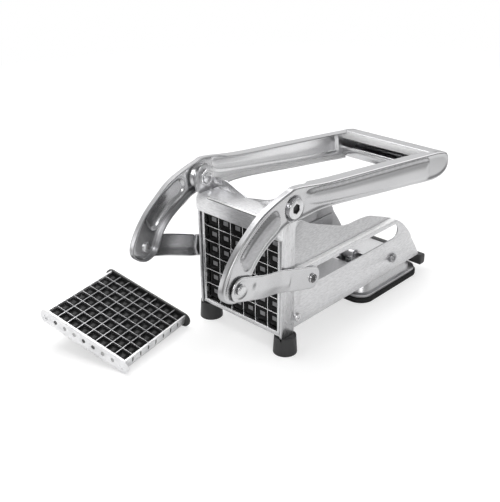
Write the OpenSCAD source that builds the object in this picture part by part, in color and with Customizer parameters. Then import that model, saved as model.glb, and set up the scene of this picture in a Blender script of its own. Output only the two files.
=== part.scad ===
// Lever-action potato chipper with a suction base and a spare blade set.
// The machine stands on its suction pad. The origin is the middle of the pad's underside,
// +Y runs from the blades to the grip, +Z is up and +X is the right-hand side.
// Pieces are drawn from the front plane of the blades and then moved back by base_y.

/* [Blade opening] */
// Clear width and height of the blade opening
opening_w = 68.4; // [66:0.2:69]
// Height of the opening's lower edge above the tops of the feet
opening_rise = 4.3; // [4:0.1:6]
// Cells along each side of the large grid
big_count = 6; // [5:1:7]
// Cells along each side of the small grid
small_count = 8; // [7:1:9]
// Thickness of one blade
blade_t = 0.5; // [0.4:0.05:0.7]
// Depth of one blade
blade_d = 8; // [7:0.5:9]

/* [Frame] */
// Width of the channel strip between a cheek and its side plate
liner_t = 1.2; // [1:0.1:1.6]
// Thickness of the upright side plates
plate_t = 1.5; // [1.2:0.1:1.6]
// Front to back depth of the side plates
upright_d = 13; // [12.5:0.5:15]
// Height of the deck above the opening
deck_rise = 14.3; // [13:0.1:16]
// Thickness of the folded body sheet
sheet_t = 1; // [0.8:0.1:1.2]

/* [Body trough] */
// Distance from the blade plane to the rear end of the rails
trough_rear = 162.4; // [162:0.2:163]
// Height of the fold between rails and upper walls
ledge_z = 60; // [59.5:0.5:62]
// Drop from the deck to the upper walls
wall_drop = 7; // [6:0.5:9]
// Width of the ledge on each side
ledge_w = 3.7; // [3.5:0.1:3.9]
// Height of the slots in the rails
slot_h = 11.5; // [11.3:0.1:12]
// Height of the slots' centre line
slot_z = 49.7; // [49.5:0.1:50]

/* [Handle] */
// Pivot behind the blade plane
pivot_y = 2.5; // [2:0.1:3]
// Height of the pivot above the deck
pivot_rise = 8.6; // [8:0.2:10]
// Distance from the pivot to the lower pin
crank_l = 62.5; // [61.5:0.5:64]
// Length from the pivot to the rear of the grip
handle_l = 184.5; // [175:0.5:195]
// Depth of the handle's side
handle_d = 19; // [18:0.5:20]
// Distance from a side plate to the outer face of its arm
arm_set = 5.1; // [5:0.1:6]
// Sheet of the arms
arm_t = 1.2; // [1:0.1:1.4]
// Depth of the embossed panels
emboss_h = 2; // [1.6:0.1:2.4]
// Depth of the deep flange along the handle
flange_w = 8; // [6:0.5:9]

/* [Links] */
// Place of the pusher's pins behind the blade plane, with the handle down
pin_y = 25.3; // [24.5:0.1:26]
// Width of a link
link_w = 16; // [14:0.5:16.5]
// Sheet of a link
link_t = 1.2; // [1:0.1:1.4]

/* [Pusher] */
// Length of the large pusher's posts
post_l = 20; // [16:1:20]
// Gap between a post and the blades around it
post_gap = 0.3; // [0.3:0.05:0.5]
// Travel of the pusher along the slots
travel = 93.9; // [60:1:93.9]

/* [Suction base] */
// Distance from the blade plane to the front of the rubber pad
pad_front = 88; // [80:0.5:92]
// Thickness of the pad's rim
pad_t = 4; // [3.6:0.1:4.2]
// Height of the lever's pin above the table
lever_z = 20; // [19.8:0.1:20.5]
// Height of the front feet
foot_h = 13; // [12.5:0.1:13.4]
// Radius of a foot at the table
foot_r = 8.4; // [8:0.1:9]

/* [Spare set] */
// Sideways place of the spare grid
spare_x = -62.4; // [-75:0.1:-62]
// Place of the spare grid in front of the blade plane
spare_y = -62.05; // [-75:0.05:-62]
// Height of the middle of the spare grid
spare_z = 18.97; // [18.97:0.01:19.2]
// Turn of the spare set on the table
spare_turn = 12.17; // [0:0.5:20]
// Tilt of the spare set, which lies on one edge and its hub
spare_tilt = 15.72; // [15.5:0.02:15.8]

/* [Hidden] */
cut = 0.5;          // overrun of every cut
fine = 64;          // facets of round pieces
small = 32;         // facets of small round pieces

// Frame
opening_in = opening_w / 2;
opening_z0 = foot_h + opening_rise;
opening_z1 = opening_z0 + opening_w;
opening_z = (opening_z0 + opening_z1) / 2;
deck_z = opening_z1 + deck_rise;
wall_z = deck_z - wall_drop;
pivot_z = deck_z + pivot_rise;
cheek_t = 2;
side_x = opening_in + cheek_t + liner_t + plate_t;
body_w = 2 * side_x;
frame_front = -4;
frame_rear = frame_front + upright_d;
upright_z0 = 11;
cassette_front = -3;
strip_t = 2;
liner_front = -1;
sill_t = 1.2;
sill_gap = 0.3;
fascia_t = 1;
fascia_over = 0.4;
deck_r = 6;
bead_r = 0.9;
bead_in = 11.9;
bead_l = 2 * (side_x - bead_in);
bead_drop = 1.6;
deck_hem = 8;
deck_rear = 10;
fascia_gap = 0.7;
fascia_z = opening_z1 + fascia_gap;
fascia_r = 2;
slot_gap = 0.05;
end_r = 4;
ear_r = 9;
ear_drop = 2;
ear_root = 8;
web_t = 1.2;
web_gap = 0.5;
web_z0 = wall_z + web_gap;

// Trough
floor_gap = 0.1;
rail_z0 = opening_z0 - sheet_t - floor_gap;
wall_x = side_x - ledge_w;
fold = 0.8 * sheet_t;
tail_l = 37.7;
tail_h = ledge_z - rail_z0;
rivet_r = 3;
rivet_h = 1.5;
rivet_y = 12.6;
rivet_z = 23.8;
low_rivet = [rivet_y, rivet_z];
star_y = 124.9;
star_z = 27.6;
star = [star_y, star_z];
star_r = 3.6;
star_h = 1.6;
inner_front = 115;
inner_rear = 147;
inner_top = 36;
inner_plate_t = 1.2;
bend_gap = 0.1;

pad_past = 4.6;
pad_side = 1.1;
pad_rear = trough_rear + pad_past;
pad_l = pad_rear - pad_front;
pad_w = body_w + 2 * pad_side;
base_y = (pad_front + pad_rear) / 2;

// Feet
foot_in = 2.7;
foot_x = side_x - foot_in;
foot_y = 3.3;
foot_top_r = 7.6;
foot_slot = 0.15;
foot_screw_r = 1.1;
foot_screw_head = 3.6;
foot_recess = 3;

// Pivot
bolt_r = 3.5;
bolt_fit = 0.05;
head_r = 6.75;
head_proud = 1;
arm_x = side_x + arm_set;
head_face = arm_x + head_proud;
head_t = 3.3;
socket_r = 3.4;
socket_d = 1.8;
dish_r = 8.1;
dish_wall = 0.9;
dish_gap = 1.1;
dish_x = side_x + dish_gap;
spacer_r = 6.5;
run_gap = 0.3;
nut_r = 6.4;
nut_t = 2.4;

// Arms
flange_gap = 0.7;
flange_x = side_x + flange_gap;
emboss_t = 1;
crank_drop_share = 0.5888;
crank_drop = crank_l * crank_drop_share;
crank_run = sqrt(pow(crank_l, 2) - pow(crank_drop, 2));
rivet_shank = 2.5;
rivet_head = 3.6;
rivet_cap = 1.1;
grip_depth = 22.5;
grip_front = pivot_y + handle_l - grip_depth;
lip_l = 3.5;

// Links
link_out = arm_x + run_gap;
link_in = side_x + flange_gap;
link_drop = pivot_z - crank_drop - slot_z;
lower_pin = [pivot_y - crank_run, pivot_z - crank_drop];
drop_end = [pin_y, slot_z];
link_l = norm(drop_end - lower_pin);
link_tilt = asin(link_drop / link_l);
joggle_a = 18;
joggle_b = 46;
rib_w = 9;
rib_h = 1;
rib_a = 14;
rib_b = 53;
dish_d = 0.5;
eye_dish_r = 5.6;
tail_rivet_r = 3.4;
tail_rivet_h = 1.2;

// Pusher
post_front = 1;
base_t = 4;
pocket_w = 4.8;
pocket_h = 3.4;
pocket_d = 6;
back_t = 1.5;
arm_wing_t = 1;
wing_low = 42.5;
wing_high = 57;
wing_rear = 34;
slot_spare = 5;
slot_lead = 2.6;
slot_front = pin_y - slot_h / 2 - slot_lead;
slot_rear = pin_y + travel + slot_h / 2 + slot_spare;
pin_r = 5.3;
pin_proud = 0.3;
pin_end = side_x + pin_proud;
notch_w = 18;
notch_z = 28;
push_screw_r = 2.2;
push_screw_h = 1.4;

// Suction base
rim_h = 2.3;
rim_in = 1.5;
cover_in = 3;
cover_slope = 2.6;
pad_r = 12;
well_w = 14;
well_z = 8;
well_l = 17;
channel_w = 48;
channel_z = 12.5;
window_l = 16.5;
lever_y = 122.5;
lever_pin_r = 2;
hub_r = 4;
hub_w = 8.6;
lug_t = 1.5;
lug_w = 11;
lug_r = 4.6;
stem_r = 3;
stem_drop = 1.2;
pocket_gap = 0.8;
stem_foot = 2.6;
pocket_wall = 0.4;
tongue_w = 44;
tongue_gap = 0.6;
tongue_front = lever_y + lug_w / 2 + tongue_gap;
tongue_t = 1.5;
tongue_fall = 4;
bar_side = 0.5;
bar_w = pad_w + 2 * bar_side;
bar_gap = 2.1;
bar_front = trough_rear + bar_gap;
bar_d = 6.5;
bar_low = 6.8;
bar_high = 15.5;
bar_corner = 2;

// Spare set
spare_less = 1;
spare_w = opening_w - spare_less;
spare_in = spare_w / 2;
spare_cheek_t = 1.5;
spare_cheek_h = 10.5;
spare_cheek_top = 0.5;
spare_strip_t = 1.2;
spare_blade_d = 7.6;
spare_post_drop = 1.8;
spare_base_z = 8;
spare_base_t = 1.8;
spare_rib = 0.4;
spare_hub_u = -12;
spare_hub_r = 8;
spare_hub_l = 11;
spare_dot_r = 1.6;
spare_hole_r = 2.2;

steel = [0.78, 0.79, 0.8];
bright = [0.88, 0.89, 0.9];
dark = [0.5, 0.51, 0.53];
black = [0.07, 0.07, 0.08];

big_pitch = opening_w / big_count;
small_pitch = spare_w / small_count;

// Puts a piece that is drawn from the blade plane where the machine stands.
module machine() {
    translate([0, -base_y, 0])
        children();
}

// Extrudes a drawing of Y and Z along X, from x0 over the length l.
module along_x(x0, l) {
    translate([x0, 0, 0])
        rotate([90, 0, 90])
            linear_extrude(l)
                children();
}

// Extrudes a drawing of X and Z along Y, from y0 over the length l.
module along_y(y0, l) {
    translate([0, y0 + l, 0])
        rotate([90, 0, 0])
            linear_extrude(l)
                children();
}

// A round bar along X at the place [y, z].
module bar_x(x0, l, at, r, facets = fine) {
    translate([x0, at[0], at[1]])
        rotate([0, 90, 0])
            cylinder(h = l, r = r, $fn = facets);
}

// The same piece on the right and on the left.
module both_sides() {
    children();
    mirror([1, 0, 0])
        children();
}

// A rectangle with round corners, centred.
module round_rect(w, l, r) {
    square([w - 2 * r, l], center = true);
    square([w, l - 2 * r], center = true);
    for (x = [-1, 1], y = [-1, 1])
        translate([x * (w / 2 - r), y * (l / 2 - r)])
            circle(r = r, $fn = small);
}

// A smooth closed curve through hand-picked points.
function bend(a, b, c, d, t) =
    0.5 * (2 * b + (c - a) * t + (2 * a - 5 * b + 4 * c - d) * t * t
        + (3 * b - a - 3 * c + d) * t * t * t);
function smooth(p, steps) = [
    for (i = [0 : len(p) - 1], s = [0 : steps - 1])
        bend(p[(i + len(p) - 1) % len(p)], p[i], p[(i + 1) % len(p)], p[(i + 2) % len(p)], s / steps)
];
// The same kind of curve with two free ends.
function smooth_open(p, steps) = concat([
    for (i = [0 : len(p) - 2], s = [0 : steps - 1])
        bend(p[max(i - 1, 0)], p[i], p[i + 1], p[min(i + 2, len(p) - 1)], s / steps)
], [p[len(p) - 1]]);
// A closed outline moved inward by d. The outline runs clockwise.
function inward(p, d) = [
    for (i = [0 : len(p) - 1])
        let (t = p[(i + 1) % len(p)] - p[(i + len(p) - 1) % len(p)], n = norm(t))
            p[i] + d * [t[1], -t[0]] / n
];

// Shares of crank_l, from the pivot: the arm's front edge, its rear edge and its lower end.
crank_front_shares = [
    [-1.035, -0.557], [-0.963, -0.382], [-0.824, -0.202], [-0.659, -0.062],
    [-0.491, 0.059], [-0.306, 0.134], [-0.088, 0.194], [0.062, 0.213]
];
crank_rear_shares = [
    [0.128, -0.152], [0.018, -0.148], [-0.1, -0.155], [-0.186, -0.178], [-0.274, -0.227],
    [-0.376, -0.278], [-0.493, -0.357], [-0.594, -0.461], [-0.651, -0.565],
    [-0.707, -0.67], [-0.848, -0.73], [-0.989, -0.67]
];
// Shares of handle_l and handle_d, from the pivot: the handle's top, rear end and bottom.
handle_shares = [
    [0.184, 0.442], [0.488, 0.121], [0.837, -0.253], [0.93, -0.37], [0.98, -0.53],
    [1, -0.926], [0.976, -1.33], [0.889, -1.453], [0.7, -1.2], [0.499, -0.932], [0.19, -0.516]
];
crank_panel_shares = [
    [-0.792, -0.288], [-0.694, -0.165], [-0.526, -0.045], [-0.342, 0.051], [-0.254, 0.034],
    [-0.216, -0.064], [-0.262, -0.145], [-0.413, -0.222], [-0.584, -0.355],
    [-0.654, -0.426], [-0.739, -0.421]
];
handle_panel_shares = [
    [0.062, 0.258], [0.084, 0.46], [0.257, 0.25], [0.539, -0.04], [0.786, -0.3],
    [0.838, -0.44], [0.845, -0.85], [0.838, -1.24], [0.7, -1.08], [0.55, -0.88], [0.175, -0.31], [0.08, -0.079]
];
function on_crank(p) = [for (q = p) [pivot_y + q[0] * crank_l, pivot_z + q[1] * crank_l]];
function on_handle(p) = [for (q = p) [pivot_y + q[0] * handle_l, pivot_z + q[1] * handle_d]];
arm_edge = smooth(concat(
    on_crank(crank_front_shares), on_handle(handle_shares), on_crank(crank_rear_shares)), 3);
crank_panel = smooth(on_crank(crank_panel_shares), 3);
handle_panel = smooth(on_handle(handle_panel_shares), 3);

// The folded edge of an arm, as deep as the sheet is thick.
module arm_rim(depth = arm_t) {
    difference() {
        polygon(arm_edge);
        polygon(inward(arm_edge, depth));
    }
}

module behind(y) {
    translate([y, 0])
        square([handle_l, pivot_z + crank_l]);
}

// Two uprights that run on into the ears of the pivot.
module side_plates() {
    color(steel) machine() both_sides()
        difference() {
            along_x(side_x - plate_t, plate_t)
                difference() {
                    union() {
                        translate([frame_front, upright_z0 + end_r])
                            square([upright_d, deck_z - ear_root - upright_z0 - end_r]);
                        translate([frame_front + end_r, upright_z0])
                            square([upright_d - 2 * end_r, end_r]);
                        for (y = [frame_front + end_r, frame_rear - end_r])
                            translate([y, upright_z0 + end_r])
                                circle(r = end_r, $fn = small);
                        polygon([
                            [frame_front, deck_z - ear_root],
                            [pivot_y - ear_r, pivot_z - ear_drop],
                            [pivot_y + ear_r, pivot_z - ear_drop],
                            [deck_rear + web_t, pivot_z - 2 * ear_drop],
                            [deck_rear + web_t, web_z0],
                            [frame_rear, deck_z - ear_root]
                        ]);
                        translate([pivot_y, pivot_z])
                            circle(r = ear_r, $fn = fine);
                    }
                }
            bar_x(side_x - plate_t - cut, plate_t + 2 * cut, [pivot_y, pivot_z], bolt_r + bolt_fit);
            translate([side_x - plate_t - cut, frame_front - 2 * ear_r, deck_z - deck_hem - cut])
                cube([plate_t + 2 * cut, 2 * ear_r, deck_hem + cut]);
        }
}

// Channel strips beside the uprights that hold the cassette's cheeks.
module frame_liners() {
    x0 = opening_in + cheek_t;
    color(dark) machine() both_sides()
        translate([x0, liner_front, opening_z0 - strip_t])
            cube([side_x - plate_t - x0, frame_rear - liner_front, opening_w + 2 * strip_t]);
}

// Fascia and deck, pressed from one sheet, with a long bead near the front edge.
module deck_cap() {
    w = side_x + fascia_over;
    color(steel) machine() {
        along_y(frame_front - fascia_t, fascia_t)
            fascia_outline(w);
        difference() {
            along_y(frame_front - fascia_t / 2, deck_rear - frame_front + fascia_t / 2)
                difference() {
                    deck_outline(side_x, deck_hem);
                    translate([0, -sheet_t])
                        deck_outline(side_x - sheet_t, deck_hem);
                }
            both_sides()
                translate([side_x - plate_t - slot_gap, frame_front - cut, deck_z - 2 * deck_hem])
                    cube([2 * plate_t, deck_rear - frame_front + 2 * cut, 3 * deck_hem]);
        }
        translate([0, deck_rear - sheet_t / 2, deck_z - sheet_t - deck_hem / 2])
            cube([2 * (side_x - plate_t - deck_r), sheet_t, deck_hem], center = true);
        bar_x(-bead_l / 2, bead_l, [frame_front - fascia_t, deck_z - bead_drop], bead_r, small);
        for (x = [-1, 1])
            translate([x * bead_l / 2, frame_front - fascia_t, deck_z - bead_drop])
                sphere(r = bead_r, $fn = small);
    }
}

module fascia_outline(w) {
    deck_outline(w, deck_z - fascia_z - fascia_r);
    translate([-w + fascia_r, fascia_z])
        square([2 * (w - fascia_r), 2 * fascia_r]);
    for (x = [-1, 1])
        translate([x * (w - fascia_r), fascia_z + fascia_r])
            circle(r = fascia_r, $fn = small);
}

module deck_outline(w, h) {
    translate([-w + deck_r, deck_z - deck_r])
        square([2 * (w - deck_r), deck_r]);
    translate([-w, deck_z - h])
        square([2 * w, h - deck_r]);
    for (x = [-1, 1])
        translate([x * (w - deck_r), deck_z - deck_r])
            circle(r = deck_r, $fn = fine);
}

// Cross plate between the feet, under the cassette.
module frame_sill() {
    w = side_x - plate_t;
    color(steel) machine()
        difference() {
            translate([-w, cassette_front, opening_z0 - strip_t - sill_t])
                cube([2 * w, frame_rear - cassette_front, sill_t]);
            both_sides()
                translate([foot_x, foot_y, opening_z0 - strip_t - sill_t - cut])
                    cylinder(h = sill_t + 2 * cut, r = foot_screw_r + bolt_fit, $fn = small);
        }
}

// Web behind the deck, from ear to ear, with a scooped top.
web_top_shares = [
    [-1, 0.95], [-0.8, 1], [-0.66, 0.985], [-0.46, 0.79], [-0.26, 0.59], [-0.08, 0.38],
    [0.08, 0.38], [0.26, 0.59], [0.46, 0.79], [0.66, 0.985], [0.8, 1], [1, 0.95]
];
web_top_gap = 1.4;
web_top = pivot_z - web_top_gap;
module pivot_web() {
    w = side_x - plate_t;
    color(bright) machine()
        along_y(deck_rear, web_t)
            polygon(concat([[w, web_z0], [-w, web_z0]], smooth_open(
                [for (q = web_top_shares) [q[0] * w, web_z0 + q[1] * (web_top - web_z0)]], 4)));
}

// Shares of the tail's length and height, down the curved rear edge of the rails.
tail_shares = [
    [0, 1], [0.2, 0.9], [0.39, 0.765], [0.61, 0.56], [0.66, 0.47], [0.85, 0.24], [1, 0.04]
];
// Shares of the upper wall's length and height, along its scalloped top edge.
wall_shares = [
    [0, 1], [0.055, 0.99], [0.1, 0.97], [0.146, 0.872], [0.211, 0.764], [0.352, 0.576],
    [0.501, 0.391], [0.653, 0.367], [0.76, 0.318], [0.83, 0.23], [0.93, 0.1], [1, 0]
];
module trough_side() {
    y1 = trough_rear - tail_l;
    polygon(concat(
        [[trough_rear, rail_z0], [frame_rear, rail_z0], [frame_rear, web_z0 - web_gap]],
        smooth_open([for (q = wall_shares)
            [frame_rear + q[0] * (y1 - frame_rear), ledge_z + q[1] * (wall_z - ledge_z)]], 3),
        smooth_open([for (q = tail_shares)
            [y1 + q[0] * tail_l, rail_z0 + q[1] * tail_h]], 3)
    ));
}

module trough_section() {
    difference() {
        trough_fill(0);
        trough_fill(sheet_t);
        translate([-wall_x + sheet_t, ledge_z - 2 * sheet_t])
            square([2 * (wall_x - sheet_t), wall_z]);
    }
}

// The section's outer line, or its inner line when t is the sheet.
module trough_fill(t) {
    w = side_x - t;
    u = wall_x - t;
    polygon([
        [-w, rail_z0 + t + fold], [-w + fold, rail_z0 + t], [w - fold, rail_z0 + t],
        [w, rail_z0 + t + fold], [w, ledge_z - t - fold], [w - fold, ledge_z - t],
        [u, ledge_z - t], [u, wall_z + ledge_w], [-u, wall_z + ledge_w], [-u, ledge_z - t],
        [-w + fold, ledge_z - t], [-w, ledge_z - t - fold]
    ]);
}

// One folded sheet: floor, slotted rails, ledges and upper walls.
module body_trough() {
    color(steel) machine()
        difference() {
            intersection() {
                along_x(-side_x, body_w) trough_side();
                along_y(frame_rear, trough_rear - frame_rear) trough_section();
            }
            along_x(-side_x - cut, body_w + 2 * cut)
                slot_outline();
            translate([-channel_w / 2, lever_y - window_l + lug_r, rail_z0 - cut])
                cube([channel_w, trough_rear, sheet_t + 2 * cut]);
            bar_x(-side_x - cut, body_w + 2 * cut, star, foot_screw_r + bolt_fit, small);
        }
}

module slot_outline() {
    r = slot_h / 2;
    translate([slot_front + r, slot_z - r])
        square([slot_rear - slot_front - 2 * r, slot_h]);
    for (y = [slot_front + r, slot_rear - r])
        translate([y, slot_z])
            circle(r = r, $fn = fine);
}

module trough_rivets() {
    color(steel) machine() both_sides()
        difference() {
            bar_x(side_x, rivet_h, low_rivet, rivet_r, small);
            bar_x(side_x + rivet_h / 2, rivet_h, low_rivet, rivet_r / 3, small);
        }
}

// Plates inside the rear of the rails.
module rear_plates() {
    color(steel) machine() both_sides()
        difference() {
            translate([side_x - sheet_t - inner_plate_t, inner_front, rail_z0 + sheet_t + fold])
                cube([inner_plate_t, inner_rear - inner_front,
                    inner_top - rail_z0 - sheet_t - fold]);
            bar_x(side_x - sheet_t - inner_plate_t - cut, inner_plate_t + 2 * cut, star,
                foot_screw_r + bolt_fit, small);
        }
}

// Screws with a star recess through the rails and the inner plates.
module star_screws() {
    inside = side_x - sheet_t - inner_plate_t;
    color(dark) machine() both_sides()
        difference() {
            union() {
                bar_x(side_x, star_h, star, star_r, small);
                bar_x(inside, side_x - inside, star, foot_screw_r, small);
                bar_x(inside - star_h, star_h, star, star_r, small);
            }
            for (a = [0 : 60 : 120])
                translate([side_x + star_h / 2 + star_h / 2, star[0], star[1]])
                    rotate([a, 0, 0])
                        cube([star_h, star_r * 1.3, star_r / 4], center = true);
        }
}

// Tapered rubber foot with a slot on top for the end of an upright.
module foot() {
    difference() {
        translate([foot_x, foot_y, 0])
            cylinder(h = foot_h, r1 = foot_r, r2 = foot_top_r, $fn = fine);
        translate([side_x - plate_t - foot_slot, frame_front - foot_slot, upright_z0 - foot_slot])
            cube([plate_t + 2 * foot_slot, upright_d + 2 * foot_slot, foot_h]);
        translate([foot_x, foot_y, -cut])
            cylinder(h = foot_h + 2 * cut, r = foot_screw_r + bolt_fit, $fn = small);
        translate([foot_x, foot_y, -cut])
            cylinder(h = foot_recess + cut, r = foot_screw_head + foot_slot, $fn = small);
    }
}

module foot_right() {
    color(black) machine() foot();
}

module foot_left() {
    color(black) machine() mirror([1, 0, 0]) foot();
}

module foot_screws() {
    color(dark) machine() both_sides()
        translate([foot_x, foot_y, foot_recess]) {
            cylinder(h = opening_z0 - strip_t - foot_recess, r = foot_screw_r, $fn = small);
            translate([0, 0, -rivet_h])
                cylinder(h = rivet_h, r = foot_screw_head, $fn = small);
        }
}

// Frame of the large grid: two cheeks and two strips.
module cassette_frame() {
    w = opening_in + cheek_t;
    color(bright) machine()
        difference() {
            translate([-w, cassette_front, opening_z0 - strip_t])
                cube([2 * w, blade_d - cassette_front, opening_w + 2 * strip_t]);
            translate([-opening_in, cassette_front - cut, opening_z0])
                cube([opening_w, blade_d - cassette_front + 2 * cut, opening_w]);
        }
}

// Upright blades, with their front halves notched for the level ones.
module blades_upright() {
    n = blade_t + 2 * bolt_fit;
    color(bright) machine()
        difference() {
            for (i = [1 : big_count - 1])
                translate([i * big_pitch - opening_in - blade_t / 2, 0, opening_z0])
                    cube([blade_t, blade_d, opening_w]);
            for (i = [1 : big_count - 1])
                translate([-opening_in - cut, -cut, opening_z0 + i * big_pitch - n / 2])
                    cube([opening_w + 2 * cut, blade_d / 2 + bolt_fit + cut, n]);
        }
}

// Level blades, with their rear halves notched for the upright ones.
module blades_level() {
    n = blade_t + 2 * bolt_fit;
    color(bright) machine()
        difference() {
            for (i = [1 : big_count - 1])
                translate([-opening_in, 0, opening_z0 + i * big_pitch - blade_t / 2])
                    cube([opening_w, blade_d, blade_t]);
            for (i = [1 : big_count - 1])
                translate([i * big_pitch - opening_in - n / 2, blade_d / 2, opening_z0 - cut])
                    cube([n, blade_d / 2 + cut, opening_w + 2 * cut]);
        }
}

// Steel cover of the suction base, with a flat rim and sloping sides.
module suction_cover() {
    w = pad_w - 2 * rim_in;
    l = pad_l - 2 * rim_in;
    s = cover_in + cover_slope;
    color(bright)
        difference() {
            union() {
                translate([0, 0, pad_t])
                    linear_extrude(rim_h)
                        round_rect(w, l, pad_r - rim_in);
                hull() {
                    translate([0, 0, pad_t + rim_h])
                        linear_extrude(bend_gap)
                            round_rect(w - 2 * cover_in, l - 2 * cover_in, pad_r - rim_in);
                    translate([0, 0, rail_z0 - bend_gap])
                        linear_extrude(bend_gap)
                            round_rect(w - 2 * s, l - 2 * s, pad_r - rim_in);
                }
            }
            translate([-well_w / 2, lever_y - base_y - well_l / 2, well_z])
                cube([well_w, well_l, rail_z0]);
            translate([-channel_w / 2, lever_y - base_y + hub_r, channel_z])
                cube([channel_w, pad_l, rail_z0]);
            translate([0, lever_y - base_y, -cut])
                cylinder(h = rail_z0, r = stem_r + bolt_fit, $fn = small);
        }
}

// Rubber pad with a pocket for the foot of the stem.
module suction_pad() {
    color(black)
        difference() {
            linear_extrude(pad_t)
                round_rect(pad_w, pad_l, pad_r);
            translate([0, lever_y - base_y, stem_foot - stem_drop - pocket_gap])
                cylinder(h = pad_t, r = stem_r + pocket_gap, $fn = small);
        }
}

// Two lugs that carry the lever's pin.
module lever_bracket() {
    x0 = hub_w / 2 + run_gap / 2;
    color(steel) machine() both_sides()
        difference() {
            along_x(x0, lug_t) {
                translate([lever_y - lug_w / 2, well_z])
                    square([lug_w, lever_z - well_z]);
                translate([lever_y, lever_z])
                    circle(r = lug_r, $fn = small);
            }
            bar_x(x0 - cut, lug_t + 2 * cut, [lever_y, lever_z], lever_pin_r + bolt_fit, small);
        }
}

module lever_pin() {
    x1 = hub_w / 2 + run_gap / 2 + lug_t;
    color(dark) machine() {
        bar_x(-x1, 2 * x1, [lever_y, lever_z], lever_pin_r, small);
        both_sides()
            bar_x(x1, lever_pin_r / 2, [lever_y, lever_z], lever_pin_r + pocket_wall, small);
    }
}

// Stem between the lever's hub and the middle of the pad.
module suction_stem() {
    z1 = lever_z - hub_r - run_gap;
    color(steel) machine()
        translate([0, lever_y, stem_foot])
            cylinder(h = z1 - stem_foot, r = stem_r, $fn = small);
}

// Lever: a hub on the pin and a wide plate that falls towards the rear.
module lever_plate() {
    z0 = lever_z - tongue_t;
    z1 = z0 - tongue_fall;
    color(steel) machine()
        difference() {
            union() {
                bar_x(-hub_w / 2, hub_w, [lever_y, lever_z], hub_r, small);
                along_x(-hub_w / 2, hub_w)
                    polygon([
                        [lever_y, lever_z - tongue_t], [tongue_front + hub_r, z0 - tongue_t / 2],
                        [tongue_front + hub_r, z0 + tongue_t / 2], [lever_y, lever_z + tongue_t]
                    ]);
                along_x(-tongue_w / 2, tongue_w)
                    polygon([
                        [tongue_front, z0 - tongue_t / 2], [bar_front, z1 - tongue_t / 2],
                        [bar_front, z1 + tongue_t / 2], [tongue_front, z0 + tongue_t / 2]
                    ]);
            }
            bar_x(-hub_w, 2 * hub_w, [lever_y, lever_z], lever_pin_r + bolt_fit, small);
        }
}

// Rubber bar across the rear end of the lever.
module lever_bar() {
    r = bar_corner;
    color(black) machine()
        along_x(-bar_w / 2, bar_w) {
            translate([bar_front, bar_low + r])
                square([bar_d, bar_high - bar_low - 2 * r]);
            translate([bar_front, bar_low])
                square([bar_d - r, bar_high - bar_low]);
            for (z = [bar_low + r, bar_high - r])
                translate([bar_front + bar_d - r, z])
                    circle(r = r, $fn = small);
        }
}

// Socket-head bolts of the handle's pivot.
module pivot_bolts() {
    inside = side_x - plate_t - nut_t - run_gap;
    color(dark) machine() both_sides()
        difference() {
            union() {
                bar_x(inside, head_face - inside - socket_d, [pivot_y, pivot_z], bolt_r);
                bar_x(head_face - head_t, head_t, [pivot_y, pivot_z], head_r);
            }
            bar_x(head_face - socket_d, socket_d + cut, [pivot_y, pivot_z], socket_r, 6);
        }
}

module pivot_spacers() {
    color(steel) machine() both_sides()
        difference() {
            bar_x(side_x, dish_gap - run_gap, [pivot_y, pivot_z], spacer_r);
            bar_x(side_x - cut, dish_x, [pivot_y, pivot_z], bolt_r + bolt_fit);
        }
}

module pivot_nuts() {
    color(bright) machine() both_sides()
        difference() {
            bar_x(side_x - plate_t - nut_t, nut_t, [pivot_y, pivot_z], nut_r, 6);
            bar_x(side_x - plate_t - nut_t - cut, nut_t + 2 * cut, [pivot_y, pivot_z], bolt_r + bolt_fit);
        }
}

// Stamped arm: web, folded edge, two raised panels and a dish round the pivot.
module arm() {
    web_x = arm_x - arm_t;
    difference() {
        union() {
            along_x(web_x, arm_t) polygon(arm_edge);
            along_x(flange_x, web_x - flange_x)
                difference() {
                    arm_rim();
                    behind(grip_front);
                }
            along_x(arm_x - flange_w, flange_w - arm_t)
                intersection() {
                    arm_rim();
                    translate([deck_rear + ear_r, 0])
                        square([grip_front - deck_rear - ear_r, pivot_z + crank_l]);
                }
            along_x(web_x, arm_t + emboss_h) {
                polygon(crank_panel);
                polygon(handle_panel);
            }
            bar_x(dish_x, arm_x - dish_x, [pivot_y, pivot_z], dish_r + dish_wall / 2);
        }
        along_x(web_x - cut, arm_t + emboss_h - emboss_t + cut) {
            polygon(inward(crank_panel, emboss_t));
            polygon(inward(handle_panel, emboss_t));
        }
        bar_x(dish_x + arm_t, arm_x, [pivot_y, pivot_z], dish_r - dish_wall / 2);
        bar_x(dish_x - cut, arm_x, [pivot_y, pivot_z], bolt_r + bolt_fit);
        bar_x(web_x - cut, arm_x, lower_pin, rivet_shank + bolt_fit, small);
    }
}

module arm_right() {
    color(steel) machine() arm();
}

module arm_left() {
    color(steel) machine() mirror([1, 0, 0]) arm();
}

// Channel across the rear ends of the arms, open towards the front.
module grip_bar() {
    w = arm_x - arm_t;
    color(steel) machine() {
        along_x(-w, 2 * w)
            intersection() {
                arm_rim();
                behind(grip_front);
            }
        along_x(-arm_x + flange_w, 2 * (arm_x - flange_w))
            intersection() {
                arm_rim(lip_l);
                translate([grip_front, 0])
                    square([arm_t, pivot_z]);
            }
    }
}

// Rivets that join the arms and the front ends of the links.
module crank_rivets() {
    x0 = arm_x - arm_t;
    x1 = link_out + link_t;
    color(bright) machine() both_sides() {
        bar_x(x0 - rivet_cap, rivet_cap, lower_pin, rivet_head, small);
        bar_x(x0 - cut, x1 - x0 + cut, lower_pin, rivet_shank, small);
        translate([x1 + run_gap / 3, lower_pin[0], lower_pin[1]])
            rotate([0, 90, 0])
                rotate_extrude($fn = small)
                    polygon([
                        [0, -cut], [rivet_shank, -cut], [rivet_shank, 0], [rivet_head, 0],
                        [rivet_head, rivet_cap / 3], [rivet_head * 0.75, rivet_cap * 0.8],
                        [rivet_head * 0.4, rivet_cap], [0, rivet_cap]
                    ]);
    }
}

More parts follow.
